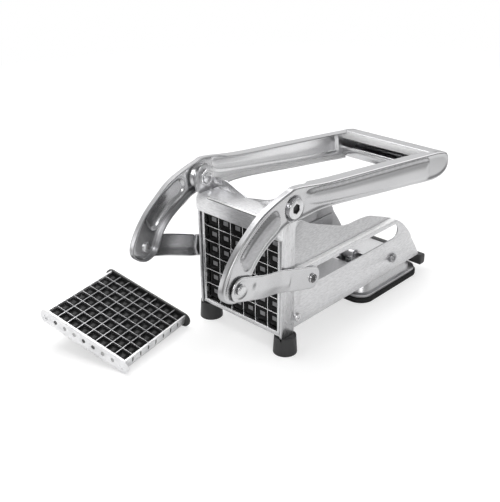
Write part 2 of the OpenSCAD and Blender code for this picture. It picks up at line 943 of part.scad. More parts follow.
// Side view of a link: flat at both ends, with a slanted step inward between them.
module link_step(out) {
    polygon([
        [-link_w, link_out + out], [joggle_a, link_out + out], [joggle_b, link_in + out],
        [link_l + link_w, link_in + out], [link_l + link_w, link_in + out + link_t],
        [joggle_b, link_in + out + link_t], [joggle_a, link_out + out + link_t],
        [-link_w, link_out + out + link_t]
    ]);
}

// A link lies along its own X from the front pin, with its sheet seen from above.
module link() {
    translate([0, lower_pin[0], lower_pin[1]])
        rotate([-link_tilt, 0, 0])
            rotate([0, 0, 90])
                mirror([0, 1, 0])
                    link_flat();
}

module link_flat() {
    difference() {
        union() {
            intersection() {
                translate([0, 0, -link_w / 2])
                    linear_extrude(link_w)
                        link_step(0);
                along_link(link_w) {
                    square_link(link_w);
                }
            }
            intersection() {
                translate([0, 0, -rib_w / 2])
                    linear_extrude(rib_w)
                        link_step(rib_h);
                translate([rib_a, 0, -rib_w / 2])
                    cube([rib_b - rib_a, arm_x + link_w, rib_w]);
            }
        }
        translate([0, 0, 0])
            rotate([-90, 0, 0])
                cylinder(h = arm_x + link_w, r = rivet_shank + bolt_fit, $fn = small);
        translate([0, link_out + link_t - dish_d, 0])
            rotate([-90, 0, 0])
                cylinder(h = link_w, r = eye_dish_r, $fn = fine);
        translate([link_l, 0, 0])
            rotate([-90, 0, 0])
                cylinder(h = arm_x + link_w, r = rivet_shank + bolt_fit, $fn = small);
    }
}

module along_link(w) {
    translate([0, arm_x + w, 0])
        rotate([90, 0, 0])
            linear_extrude(arm_x + w)
                children();
}

module square_link(w) {
    translate([0, -w / 2])
        square([link_l, w]);
    for (x = [0, link_l])
        translate([x, 0])
            circle(r = w / 2, $fn = fine);
}

module link_right() {
    color(steel) machine() link();
}

module link_left() {
    color(steel) machine() mirror([1, 0, 0]) link();
}

// Rivet at the rear end of a link, in front of the pusher's pin.
module link_rivet() {
    bar_x(link_in, link_t + bolt_fit, drop_end, rivet_shank, small);
    translate([link_in + link_t, drop_end[0], drop_end[1]])
        rotate([0, 90, 0])
            difference() {
                cylinder(h = tail_rivet_h, r = tail_rivet_r, $fn = small);
                translate([0, 0, tail_rivet_h / 2])
                    cylinder(h = tail_rivet_h, r = tail_rivet_r / 2, $fn = small);
            }
}

module link_rivet_right() {
    color(dark) machine() link_rivet();
}

module link_rivet_left() {
    color(dark) machine() mirror([1, 0, 0]) link_rivet();
}

// Black block whose posts press the potato through the large grid.
module pusher_block() {
    w = big_pitch - blade_t - 2 * post_gap;
    edge = opening_in - post_gap - blade_t / 2;
    color(black) machine()
        difference() {
            union() {
                for (i = [0 : big_count - 1], j = [0 : big_count - 1])
                    translate([
                        (i + 0.5) * big_pitch - opening_in - w / 2, post_front,
                        (j + 0.5) * big_pitch + opening_z0 - w / 2
                    ])
                        cube([w, post_l + bolt_fit, w]);
                translate([-edge, post_front + post_l, opening_z - edge])
                    cube([2 * edge, base_t, 2 * edge]);
            }
            for (i = [0 : big_count - 1], j = [0 : big_count - 1])
                translate([
                    (i + 0.5) * big_pitch - opening_in - pocket_w / 2, post_front - cut,
                    (j + 0.5) * big_pitch + opening_z0 - pocket_h / 2
                ])
                    cube([pocket_w, pocket_d + cut, pocket_h]);
            pusher_notch();
        }
}

module pusher_notch() {
    translate([-notch_w / 2, post_front + post_l + bolt_fit, 0])
        cube([notch_w, link_l, notch_z]);
}

// Steel back plate with wings that run inside the slotted rails.
module pusher_carriage() {
    edge = opening_in - post_gap - blade_t / 2;
    y0 = post_front + post_l + base_t;
    x1 = side_x - sheet_t - run_gap;
    color(steel) machine()
        difference() {
            union() {
                along_y(y0, back_t) {
                    translate([-edge, opening_z - edge])
                        square([2 * edge, 2 * edge]);
                    translate([-x1, wing_low])
                        square([2 * x1, wing_high - wing_low]);
                }
                both_sides()
                    translate([x1 - arm_wing_t, y0, wing_low])
                        cube([arm_wing_t, wing_rear - y0, wing_high - wing_low]);
                both_sides()
                    translate([x1 - arm_wing_t, post_front + post_l - base_t, wing_low])
                        cube([arm_wing_t, base_t + base_t + back_t, wing_high - wing_low]);
            }
            pusher_notch();
            for (p = push_screws())
                translate([p[0], y0 - cut, p[1]])
                    rotate([-90, 0, 0])
                        cylinder(h = back_t + 2 * cut, r = push_screw_r / 2 + bolt_fit, $fn = small);
        }
}

function push_screws() = [
    for (x = [-1, 1], z = [-1, 1]) [x * 2 * big_pitch, opening_z + z * 2 * big_pitch]
];

// Round pins that run in the slots.
module pusher_pins() {
    x1 = side_x - sheet_t - run_gap;
    color(steel) machine() both_sides()
        bar_x(x1, pin_end - x1, [pin_y, slot_z], pin_r);
}

module pusher_screws() {
    y0 = post_front + post_l + base_t + back_t;
    color(dark) machine()
        for (p = push_screws())
            translate([p[0], y0, p[1]])
                rotate([-90, 0, 0]) {
                    cylinder(h = push_screw_h, r = push_screw_r, $fn = small);
                    translate([0, 0, -back_t])
                        cylinder(h = back_t, r = push_screw_r / 2, $fn = small);
                }
}

// Places the spare set, which is drawn flat with its blade edges in the plane Z = 0.
module spare_set() {
    translate([spare_x, spare_y - base_y, spare_z])
        rotate([0, 0, spare_turn])
            rotate([0, spare_tilt, 0])
                children();
}

// Cheeks of the small grid, with round ends, dots over the blade ends and end holes.
module spare_cheeks() {
    r = spare_cheek_h / 2;
    reach = spare_in;
    z = spare_cheek_top - r;
    color(bright) spare_set()
        for (side = [-1, 1])
            translate([0, side * (spare_in + spare_cheek_t / 2), z])
                rotate([90, 0, 0])
                    difference() {
                        linear_extrude(spare_cheek_t, center = true) {
                            square([2 * reach, 2 * r], center = true);
                            for (x = [-reach, reach])
                                translate([x, 0])
                                    circle(r = r, $fn = fine);
                        }
                        for (x = [-reach, reach])
                            translate([x, 0, -side * spare_cheek_t / 2])
                                cylinder(h = spare_cheek_t, r = spare_hole_r, center = true, $fn = small);
                        for (i = [1 : small_count - 1])
                            translate([i * small_pitch - spare_in, 0, -side * spare_cheek_t / 2])
                                cylinder(h = spare_cheek_t / 2, r = spare_dot_r, center = true, $fn = small);
                    }
}

// Strips across the ends of the small grid, with slanted slots over the blade ends.
module spare_strips() {
    color(bright) spare_set()
        for (side = [-1, 1])
            difference() {
                translate([side * (spare_in + spare_strip_t / 2), 0, -spare_base_z / 2])
                    cube([spare_strip_t, spare_w, spare_base_z], center = true);
                for (i = [1 : small_count - 1])
                    translate([side * (spare_in + spare_strip_t), i * small_pitch - spare_in, -spare_base_z / 2])
                        rotate([spare_turn, 0, 0])
                            cube([spare_strip_t / 2, spare_dot_r, spare_base_z * 0.6], center = true);
            }
}

module spare_blades_u() {
    n = blade_t + 2 * bolt_fit;
    color(bright) spare_set()
        difference() {
            for (i = [1 : small_count - 1])
                translate([-spare_in, i * small_pitch - spare_in - blade_t / 2, -spare_blade_d])
                    cube([spare_w, blade_t, spare_blade_d]);
            for (i = [1 : small_count - 1])
                translate([i * small_pitch - spare_in - n / 2, -spare_in - cut, -spare_blade_d / 2])
                    cube([n, spare_w + 2 * cut, spare_blade_d / 2 + cut]);
        }
}

module spare_blades_v() {
    n = blade_t + 2 * bolt_fit;
    color(bright) spare_set()
        difference() {
            for (i = [1 : small_count - 1])
                translate([i * small_pitch - spare_in - blade_t / 2, -spare_in, -spare_blade_d])
                    cube([blade_t, spare_w, spare_blade_d]);
            for (i = [1 : small_count - 1])
                translate([-spare_in - cut, i * small_pitch - spare_in - n / 2, -spare_blade_d - cut])
                    cube([spare_w + 2 * cut, n, spare_blade_d / 2 + cut + bolt_fit]);
        }
}

// Black block with the posts of the small grid, nested in it from below.
module spare_block() {
    w = small_pitch - blade_t - 2 * post_gap;
    edge = spare_in - post_gap;
    color(black) spare_set() {
        for (i = [0 : small_count - 1], j = [0 : small_count - 1])
            translate([
                (i + 0.5) * small_pitch - spare_in - w / 2, (j + 0.5) * small_pitch - spare_in - w / 2,
                -spare_base_z - bolt_fit
            ])
                cube([w, w, spare_base_z + bolt_fit - spare_post_drop]);
        translate([-edge, -edge, -spare_base_z - spare_base_t])
            cube([2 * edge, 2 * edge, spare_base_t]);
    }
}

// Round boss under the block, on which the set lies at its high side.
module spare_hub() {
    color(black) spare_set()
        translate([spare_hub_u, 0, -spare_base_z - spare_base_t - spare_hub_l])
            cylinder(h = spare_hub_l, r = spare_hub_r, $fn = fine);
}

side_plates();
frame_liners();
deck_cap();
frame_sill();
pivot_web();
body_trough();
trough_rivets();
rear_plates();
star_screws();
foot_left();
foot_right();
foot_screws();
cassette_frame();
blades_upright();
blades_level();
suction_cover();
suction_pad();
lever_bracket();
lever_pin();
suction_stem();
lever_plate();
lever_bar();
pivot_bolts();
pivot_spacers();
pivot_nuts();
arm_right();
arm_left();
grip_bar();
crank_rivets();
link_right();
link_left();
link_rivet_right();
link_rivet_left();
pusher_block();
pusher_carriage();
pusher_pins();
pusher_screws();
spare_cheeks();
spare_strips();
spare_blades_u();
spare_blades_v();
spare_block();
spare_hub();
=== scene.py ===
import math

import bpy
import numpy
from mathutils import Matrix, Vector


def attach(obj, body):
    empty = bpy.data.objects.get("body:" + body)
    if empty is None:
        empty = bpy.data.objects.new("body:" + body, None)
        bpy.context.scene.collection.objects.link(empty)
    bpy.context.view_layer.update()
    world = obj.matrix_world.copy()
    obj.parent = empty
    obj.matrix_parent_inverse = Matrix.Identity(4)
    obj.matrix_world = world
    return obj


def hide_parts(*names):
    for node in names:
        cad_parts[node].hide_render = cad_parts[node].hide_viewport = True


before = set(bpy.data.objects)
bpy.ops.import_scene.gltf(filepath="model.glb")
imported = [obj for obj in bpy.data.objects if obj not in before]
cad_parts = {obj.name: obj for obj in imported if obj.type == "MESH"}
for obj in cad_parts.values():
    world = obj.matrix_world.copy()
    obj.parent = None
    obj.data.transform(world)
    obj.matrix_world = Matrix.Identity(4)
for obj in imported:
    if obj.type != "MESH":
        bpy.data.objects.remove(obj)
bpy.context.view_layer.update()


# The view. The photograph looks down on the machine from its right front corner with a long lens;
# the camera's place and turn were solved from it.
view_from = Vector((0.34006, -0.47595, 0.30472))
view_turn = math.radians(43.715)
view_down = math.radians(26.167)
view_roll = math.radians(-0.512)
camera_data = bpy.data.cameras.new("view")
camera_data.lens = 57.6
camera_data.sensor_width = 36.0
camera_data.sensor_fit = "HORIZONTAL"
camera = bpy.data.objects.new("view", camera_data)
bpy.context.scene.collection.objects.link(camera)
bpy.context.scene.camera = camera
view_back = Vector((
    math.sin(view_turn) * math.cos(view_down),
    -math.cos(view_turn) * math.cos(view_down),
    math.sin(view_down),
))
flat_right = Vector((math.cos(view_turn), math.sin(view_turn), 0.0))
flat_up = view_back.cross(flat_right)
view_right = math.cos(view_roll) * flat_right + math.sin(view_roll) * flat_up
view_up = math.cos(view_roll) * flat_up - math.sin(view_roll) * flat_right
camera.matrix_world = Matrix((
    (view_right.x, view_up.x, view_back.x, view_from.x),
    (view_right.y, view_up.y, view_back.y, view_from.y),
    (view_right.z, view_up.z, view_back.z, view_from.z),
    (0, 0, 0, 1),
))
bpy.context.scene.view_settings.view_transform = "Standard"


# The studio. The camera sees plain white round the machine. The steel reflects a sky that is dark
# on the camera's side and bright behind the machine, and four soft lamps.
def grey_ramp(tree, stops):
    """A ramp of greys, one for each (place, grey)."""
    ramp = tree.nodes.new("ShaderNodeValToRGB")
    for stop, grey in stops:
        spot = ramp.color_ramp.elements.new(stop)
        spot.color = (grey, grey, grey, 1)
    ramp.color_ramp.elements.remove(ramp.color_ramp.elements[0])
    ramp.color_ramp.elements.remove(ramp.color_ramp.elements[-1])
    return ramp


def toward(tree, source, direction):
    """How far a direction of the source points along the given one, from 0 to 1."""
    along = tree.nodes.new("ShaderNodeVectorMath")
    along.operation = "DOT_PRODUCT"
    along.inputs[1].default_value = Vector(direction).normalized()
    half = tree.nodes.new("ShaderNodeMapRange")
    half.inputs["From Min"].default_value = -1
    tree.links.new(source, along.inputs[0])
    tree.links.new(along.outputs["Value"], half.inputs["Value"])
    return half.outputs[0]


def wire(tree, *pairs):
    """Links each pair of an output and an input."""
    for source, target in pairs:
        tree.links.new(source, target)


bright_way = (-0.68, 0.72, 0.15)
sky_strength = 1.5
world = bpy.data.worlds.new("studio")
bpy.context.scene.world = world
world.use_nodes = True
sky = world.node_tree
sky.nodes.clear()
sky_out = sky.nodes.new("ShaderNodeOutputWorld")
sky_mix = sky.nodes.new("ShaderNodeMixShader")
sky_path = sky.nodes.new("ShaderNodeLightPath")
sky_white = sky.nodes.new("ShaderNodeBackground")
sky_white.inputs["Color"].default_value = (1, 1, 1, 1)
sky_light = sky.nodes.new("ShaderNodeBackground")
sky_light.inputs["Strength"].default_value = sky_strength
sky_place = sky.nodes.new("ShaderNodeTexCoord")
sky_far = grey_ramp(sky, ((0.001, 0.2), (0.35, 0.28), (0.55, 0.42), (0.72, 0.9), (0.999, 1.0)))
sky_up = grey_ramp(sky, ((0.001, 0.6), (0.55, 0.7), (0.72, 0.68), (0.82, 0.62), (0.999, 0.6)))
sky_product = sky.nodes.new("ShaderNodeMix")
sky_product.data_type = "RGBA"
sky_product.blend_type = "MULTIPLY"
sky_product.inputs[0].default_value = 1
wire(
    sky,
    (toward(sky, sky_place.outputs["Generated"], bright_way), sky_far.inputs[0]),
    (toward(sky, sky_place.outputs["Generated"], (0, 0, 1)), sky_up.inputs[0]),
    (sky_far.outputs[0], sky_product.inputs[6]),
    (sky_up.outputs[0], sky_product.inputs[7]),
    (sky_product.outputs[2], sky_light.inputs["Color"]),
    (sky_path.outputs["Is Camera Ray"], sky_mix.inputs[0]),
    (sky_light.outputs[0], sky_mix.inputs[1]),
    (sky_white.outputs[0], sky_mix.inputs[2]),
    (sky_mix.outputs[0], sky_out.inputs["Surface"]),
)

lamps_aim = Vector((0, -0.06, 0.05))
for lamp_name, lamp_place, lamp_size, lamp_power in (
    ("key", (-0.35, -0.1, 1.25), 0.8, 9.0),
    ("fill", (0.95, -0.75, 0.55), 0.5, 5.0),
    ("rear", (0.2, 0.95, 0.8), 0.8, 1.5),
    ("side", (-0.75, -0.9, 0.16), 0.45, 1.4),
):
    lamp_data = bpy.data.lights.new(lamp_name, "AREA")
    lamp_data.size = lamp_size
    lamp_data.energy = lamp_power
    lamp = bpy.data.objects.new(lamp_name, lamp_data)
    bpy.context.scene.collection.objects.link(lamp)
    lamp.location = lamp_place
    lamp.rotation_euler = (lamps_aim - Vector(lamp_place)).to_track_quat("-Z", "Y").to_euler()

# The table, a matt white sheet. To the camera it glows to white and fades out before its edge, with
# only the soft shadow on it. The steel reflects a table that turns grey some way from the machine,
# which is a painted shade for the light falling off.
table_size = 6
table_shade_grey = 0.55
table_glow_strength = 0.55
bpy.ops.object.select_all(action="DESELECT")
bpy.ops.mesh.primitive_plane_add(size=table_size, location=(0, 0, 0))
table = bpy.context.object
table.name = "table"
table_white = bpy.data.materials.new("table_white")
table_white.use_nodes = True
nodes = table_white.node_tree.nodes
nodes.clear()
table_out = nodes.new("ShaderNodeOutputMaterial")
table_matt = nodes.new("ShaderNodeBsdfDiffuse")
table_shade = nodes.new("ShaderNodeBsdfDiffuse")
table_shade.inputs["Color"].default_value = (table_shade_grey, table_shade_grey, table_shade_grey, 1)
table_glow = nodes.new("ShaderNodeEmission")
table_glow.inputs["Strength"].default_value = table_glow_strength
table_add = nodes.new("ShaderNodeAddShader")
table_mix = nodes.new("ShaderNodeMixShader")
table_white_light = nodes.new("ShaderNodeEmission")
table_fade = nodes.new("ShaderNodeMixShader")
table_path = nodes.new("ShaderNodeLightPath")
table_place = nodes.new("ShaderNodeTexCoord")
table_far = nodes.new("ShaderNodeVectorMath")
table_far.operation = "LENGTH"
# This ramp paints shade on the table for reflections, darker with distance from the machine.
table_painted_shade_ramp = grey_ramp(table_white.node_tree, ((0.001, 0.9), (0.3, 0.86), (0.46, 0.38), (0.999, 0.25)))
table_edge = grey_ramp(table_white.node_tree, ((0.001, 0), (0.5, 0), (0.9, 1), (0.999, 1)))
wire(
    table_white.node_tree,
    (table_place.outputs["Object"], table_far.inputs[0]),
    (table_far.outputs["Value"], table_painted_shade_ramp.inputs[0]),
    (table_far.outputs["Value"], table_edge.inputs[0]),
    (table_edge.outputs[0], table_fade.inputs[0]),
    (table_painted_shade_ramp.outputs[0], table_matt.inputs["Color"]),
    (table_shade.outputs[0], table_add.inputs[0]),
    (table_glow.outputs[0], table_add.inputs[1]),
    (table_path.outputs["Is Camera Ray"], table_mix.inputs[0]),
    (table_matt.outputs[0], table_mix.inputs[1]),
    (table_add.outputs[0], table_fade.inputs[1]),
    (table_white_light.outputs[0], table_fade.inputs[2]),
    (table_fade.outputs[0], table_mix.inputs[2]),
    (table_mix.outputs[0], table_out.inputs["Surface"]),
)
table.data.materials.append(table_white)


# Front frame: two upright plates of stainless sheet, a liner on each, the sill between the feet
# and the scooped web behind the deck. All are cut and folded sheet with a fine brushed finish.
def brushed_steel(name, colour, roughness, grain, depth, metallic=1.0):
    """The grain is in marks to the metre along x, y and z, and the brush lines run along the axis
    with the smallest number. Depth says how strongly they show."""
    steel = bpy.data.materials.new(name)
    steel.use_nodes = True
    tree = steel.node_tree
    shader = tree.nodes["Principled BSDF"]
    shader.inputs["Metallic"].default_value = metallic
    place = tree.nodes.new("ShaderNodeTexCoord")
    stretch = tree.nodes.new("ShaderNodeMapping")
    stretch.inputs["Scale"].default_value = grain
    hair = tree.nodes.new("ShaderNodeTexNoise")
    hair.inputs["Scale"].default_value = 1.0
    hair.inputs["Detail"].default_value = 4.0
    cloud = tree.nodes.new("ShaderNodeTexNoise")
    cloud.inputs["Scale"].default_value = 28.0
    cloud.inputs["Detail"].default_value = 3.0
    rough = tree.nodes.new("ShaderNodeMapRange")
    rough.inputs["To Min"].default_value = roughness * (1 - 1.5 * depth)
    rough.inputs["To Max"].default_value = roughness * (1 + 2 * depth)
    tint = tree.nodes.new("ShaderNodeMapRange")
    tint.inputs["To Min"].default_value = 0.93
    tint.inputs["To Max"].default_value = 1.06
    line = tree.nodes.new("ShaderNodeMapRange")
    line.inputs["From Min"].default_value = 0.3
    line.inputs["From Max"].default_value = 0.7
    line.inputs["To Min"].default_value = 1 - depth
    line.inputs["To Max"].default_value = 1 + 0.9 * depth
    both = tree.nodes.new("ShaderNodeMath")
    both.operation = "MULTIPLY"
    scale = tree.nodes.new("ShaderNodeVectorMath")
    scale.operation = "SCALE"
    scale.inputs[0].default_value = colour
    bump = tree.nodes.new("ShaderNodeBump")
    bump.inputs["Strength"].default_value = depth
    bump.inputs["Distance"].default_value = 0.0005 * depth
    wire(
        tree,
        (place.outputs["Object"], stretch.inputs["Vector"]),
        (stretch.outputs[0], hair.inputs["Vector"]),
        (place.outputs["Object"], cloud.inputs["Vector"]),
        (hair.outputs["Fac"], rough.inputs["Value"]),
        (rough.outputs[0], shader.inputs["Roughness"]),
        (cloud.outputs["Fac"], tint.inputs["Value"]),
        (hair.outputs["Fac"], line.inputs["Value"]),
        (tint.outputs[0], both.inputs[0]),
        (line.outputs[0], both.inputs[1]),
        (both.outputs[0], scale.inputs["Scale"]),
        (scale.outputs[0], shader.inputs["Base Color"]),
        (hair.outputs["Fac"], bump.inputs["Height"]),
        (bump.outputs[0], shader.inputs["Normal"]),
    )
    return steel


def finished_copy(node, edge, round_steps=2):
    """A copy of the CAD node with its faces merged and its edges rounded off."""
    same_spot, same_after_rounding = 0.000002, 0.000003
    bpy.ops.object.select_all(action="DESELECT")
    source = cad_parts[node]
    piece = source.copy()
    piece.data = source.data.copy()
    piece.name = node + "_finished"
    piece.parent = None
    piece.matrix_world = Matrix.Identity(4)
    bpy.context.scene.collection.objects.link(piece)
    bpy.context.view_layer.objects.active = piece
    piece.select_set(True)
    bpy.ops.object.mode_set(mode="EDIT")
    bpy.ops.mesh.select_all(action="SELECT")
    bpy.ops.mesh.remove_doubles(threshold=same_spot)
    bpy.ops.mesh.dissolve_limited(angle_limit=math.radians(0.6))
    bpy.ops.object.mode_set(mode="OBJECT")
    soft = piece.modifiers.new("edge", "BEVEL")
    soft.width = edge
    soft.segments = round_steps
    soft.limit_method = "ANGLE"
    soft.angle_limit = math.radians(28)
    bpy.ops.object.modifier_apply(modifier="edge")
    bpy.ops.object.mode_set(mode="EDIT")
    bpy.ops.mesh.select_all(action="SELECT")
    bpy.ops.mesh.remove_doubles(threshold=same_after_rounding)
    bpy.ops.object.mode_set(mode="OBJECT")
    bpy.ops.object.shade_smooth_by_angle(angle=math.radians(32))
    return piece


def settle(piece, node, body, slot_name, *finishes):
    """Puts the piece in its CAD node's place on a body. Its faces start with the first finish."""
    piece.data.materials.clear()
    for finish in finishes:
        piece.data.materials.append(finish)
    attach(piece, body)
    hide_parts(node)


upright_lines = (1500, 1500, 300)
upright_steel = brushed_steel("upright_steel", (0.72, 0.72, 0.73), 0.28, upright_lines, 0.14)
for node in ("side_plates", "frame_liners", "frame_sill", "pivot_web"):
    settle(finished_copy(node, edge=0.00025), node, "base", "steel", upright_steel)

# Deck and fascia: one bright stainless sheet, folded down over the frame's front and stamped with
# a long bead near the fold. The bead's top carries a painted highlight and its underside a painted
# shade.
bead_rear = -0.13262
cross_lines = (300, 1500, 1500)
bead_lines = (9, 160, 160)
deck_steel = brushed_steel("deck_steel", (0.9, 0.9, 0.91), 0.34, cross_lines, 0.14)
bead_painted_highlight = brushed_steel("bead_painted_highlight", (0.97, 0.97, 0.97), 0.3, bead_lines, 0.1)
bead_painted_shade = brushed_steel("bead_painted_shade", (0.22, 0.22, 0.22), 0.5, bead_lines, 0.1)
deck = finished_copy("deck_cap", edge=0.0003)
settle(deck, "deck_cap", "base", "steel", deck_steel, bead_painted_highlight, bead_painted_shade)
# Bead faces that face down get the painted shade, the others the painted highlight.
for face in deck.data.polygons:
    if face.center.y < bead_rear:
        face.material_index = 2 if face.normal.z < 0.1 else 1

# Body trough: one folded sheet with a slotted rail, a ledge and an inset wall on each side, brushed
# along its length, and two plates inside its rear end. The ledges carry a painted highlight and the
# inside carries a painted shade.
ledge_low, ledge_high = 0.0585, 0.0615
facing = 0.6
long_lines = (1500, 300, 1500)
trough_steel = brushed_steel("trough_steel", (0.74, 0.74, 0.75), 0.34, long_lines, 0.16)
ledge_painted_highlight = brushed_steel("ledge_painted_highlight", (0.98, 0.98, 0.98), 0.45, long_lines, 0.1, metallic=0.2)
trough_painted_shade = brushed_steel("trough_painted_shade", (0.42, 0.42, 0.43), 0.42, long_lines, 0.12)
for node in ("body_trough", "rear_plates"):
    trough = finished_copy(node, edge=0.00025)
    settle(trough, node, "base", "steel", trough_steel, ledge_painted_highlight, trough_painted_shade)
    # Up-facing ledge faces get the painted highlight; low up-facing and inward faces the painted shade.
    for face in trough.data.polygons:
        faces_up = face.normal.z > facing
        faces_in = face.normal.x * face.center.x < -facing * abs(face.center.x)
        if faces_up and ledge_low < face.center.z < ledge_high:
            face.material_index = 1
        elif (faces_up or faces_in) and face.center.z < ledge_low:
            face.material_index = 2

# Large grid: six cells each way, of thin blades that cross at half their depth, in a bright frame
# that slides into the front of the machine. All of it is stainless steel.
blade_steel = brushed_steel("blade_steel", (0.86, 0.86, 0.87), 0.2, (60, 60, 60), 0.1)
for node, edge in (("cassette_frame", 0.0003), ("blades_upright", 0.00008), ("blades_level", 0.00008)):
    settle(finished_copy(node, edge), node, "base", "blade_steel", blade_steel)


# Front feet: two moulded black rubber cones under the frame, each held by a screw. The rubber is
# matt with a soft sheen.
def black_matt(name, shade, roughness, bump_size, sheen=0.14):
    """Moulded rubber or plastic with a fine uneven skin."""
    black = bpy.data.materials.new(name)
    black.use_nodes = True
    tree = black.node_tree
    shader = tree.nodes["Principled BSDF"]
    shader.inputs["Base Color"].default_value = (shade, shade, shade * 1.03, 1)
    shader.inputs["Specular IOR Level"].default_value = sheen
    place = tree.nodes.new("ShaderNodeTexCoord")
    fine = tree.nodes.new("ShaderNodeTexNoise")
    fine.inputs["Scale"].default_value = bump_size
    fine.inputs["Detail"].default_value = 5.0
    rough = tree.nodes.new("ShaderNodeMapRange")
    rough.inputs["To Min"].default_value = roughness * 0.85
    rough.inputs["To Max"].default_value = roughness * 1.15
    bump = tree.nodes.new("ShaderNodeBump")
    bump.inputs["Strength"].default_value = 0.3
    bump.inputs["Distance"].default_value = 0.0001
    wire(
        tree,
        (place.outputs["Object"], fine.inputs["Vector"]),
        (fine.outputs["Fac"], rough.inputs["Value"]),
        (rough.outputs[0], shader.inputs["Roughness"]),
        (fine.outputs["Fac"], bump.inputs["Height"]),
        (bump.outputs[0], shader.inputs["Normal"]),
    )
    return black


foot_black = black_matt("foot_black", 0.035, 0.42, 900, sheen=0.45)
for node in ("foot_left", "foot_right"):
    settle(finished_copy(node, edge=0.0008, round_steps=3), node, "base", "rubber", foot_black)

# Suction base: a black rubber pad under a pressed steel cover. A lever plate with a black crossbar
# hinges in a folded bracket behind it and draws the stem up.
pad_black = black_matt("pad_black", 0.022, 0.6, 1400)
cover_steel = brushed_steel("cover_steel", (0.66, 0.66, 0.67), 0.34, (1100, 1100, 1100), 0.12)
for node, body, edge, slot_name, finish in (
    ("suction_pad", "base", 0.0008, "rubber", pad_black),
    ("suction_cover", "base", 0.0004, "steel", cover_steel),
    ("lever_bracket", "base", 0.0004, "steel", cover_steel),
    ("suction_stem", "stem", 0.0004, "steel", cover_steel),
    ("lever_plate", "lever", 0.0004, "steel", cover_steel),
    ("lever_bar", "lever", 0.0008, "rubber", foot_black),
):
    settle(finished_copy(node, edge, round_steps=3), node, body, slot_name, finish)

# Pusher: a block of 36 black plastic posts on a steel carriage, whose pins run in the trough's slots.
# Each post's end has a pocket whose floor, just behind the end, is a painted grey highlight in its cell.
mm = 0.001
blade_y = -127.5
post_face = blade_y + 1.0
pocket_in_cad = 6.0
pocket_shown = 0.5
post_black = black_matt("post_black", 0.004, 0.5, 900)
pocket_painted_highlight = black_matt("pocket_painted_highlight", 0.26, 0.35, 900)
for node in ("pusher_carriage", "pusher_pins"):
    settle(finished_copy(node, edge=0.0004, round_steps=3), node, "pusher", "steel", cover_steel)
block = finished_copy("pusher_block", edge=0.0004)
settle(block, "pusher_block", "pusher", "black_plastic", post_black, pocket_painted_highlight)
for vertex in block.data.vertices:
    if abs(vertex.co.y - (post_face + pocket_in_cad) * mm) < 0.5 * mm:
        vertex.co.y = (post_face + pocket_shown) * mm
# The pocket floors get the grey painted highlight.
for face in block.data.polygons:
    if face.normal.y < -0.9 and abs(face.center.y - (post_face + pocket_shown) * mm) < 0.1 * mm:
        face.material_index = 1

# Arms: each one is pressed from steel sheet, with two raised panels, a dish round the pivot and an
# edge that rolls over into a flange. A socket bolt holds it to the frame and a rivet to its link.
pivot = numpy.array((2.5, 108.6))
crank_length = 62.5
handle_length = 184.5
handle_depth = 19.0
arm_face = 44.0
arm_web = arm_face - 0.5
dish_floor, dish_flat, dish_rim = 41.2, 6.9, 8.9
bolt_hole = 5.6
low_rim_starts, low_rim_ends = 1.8, 3.2
panel_rise, panel_foot, panel_shoulder = 1.75, -0.4, 2.2
crown_rise, crown_foot, crown_top = 0.5, 1.5, 8
sheet_ease = 0.7
crank_flange, handle_flange_more = 39.6, 3.6
flange_deepens, flange_ends = (15, 24), (160, 164)
crank_front = (
    (-1.035, -0.557), (-0.963, -0.382), (-0.824, -0.202), (-0.659, -0.062),
    (-0.491, 0.059), (-0.306, 0.134), (-0.088, 0.194), (0.062, 0.213),
)
handle_edge = (
    (0.184, 0.442), (0.488, 0.121), (0.837, -0.253), (0.93, -0.37), (0.98, -0.53),
    (1, -0.926), (0.976, -1.33), (0.889, -1.453), (0.7, -1.2), (0.499, -0.932), (0.19, -0.516),
)
crank_rear = (
    (0.128, -0.152), (0.018, -0.148), (-0.1, -0.155), (-0.186, -0.178), (-0.274, -0.227),
    (-0.376, -0.278), (-0.493, -0.357), (-0.594, -0.461), (-0.651, -0.565),
    (-0.707, -0.67), (-0.848, -0.73), (-0.989, -0.67),
)
crank_panel = (
    (-0.792, -0.288), (-0.694, -0.165), (-0.526, -0.045), (-0.342, 0.051), (-0.254, 0.034),
    (-0.216, -0.064), (-0.262, -0.145), (-0.413, -0.222), (-0.584, -0.355),
    (-0.654, -0.426), (-0.739, -0.421),
)
handle_panel = (
    (0.062, 0.258), (0.084, 0.46), (0.257, 0.25), (0.539, -0.04), (0.786, -0.3), (0.838, -0.44),
    (0.845, -0.85), (0.838, -1.24), (0.7, -1.08), (0.55, -0.88), (0.175, -0.31), (0.08, -0.079),
)


def on_crank(points):
    """From parts of the crank's length to millimetres behind the blades and above the table."""
    return [pivot + crank_length * numpy.array(p) for p in points]


def on_handle(points):
    """From parts of the handle's length and depth to the same millimetres."""
    return [pivot + numpy.array((handle_length * p[0], handle_depth * p[1])) for p in points]


def soft_loop(points, steps=5):
    """A smooth closed curve through the points."""
    p = numpy.array(points, dtype=float)
    found = []
    for i in range(len(p)):
        a, b, c, d = p[i - 1], p[i], p[(i + 1) % len(p)], p[(i + 2) % len(p)]
        for k in range(steps):
            t = k / steps
            square = (2 * a - 5 * b + 4 * c - d) * t * t
            cube = (3 * b - a - 3 * c + d) * t ** 3
            found.append(0.5 * (2 * b + (c - a) * t + square + cube))
    return numpy.array(found)


def ring_loop(centre, radius, count=96):
    turn = numpy.linspace(0, 2 * math.pi, count, endpoint=False)
    ring = (centre[0] + radius * numpy.cos(turn), centre[1] + radius * numpy.sin(turn))
    return numpy.stack(ring, axis=1)


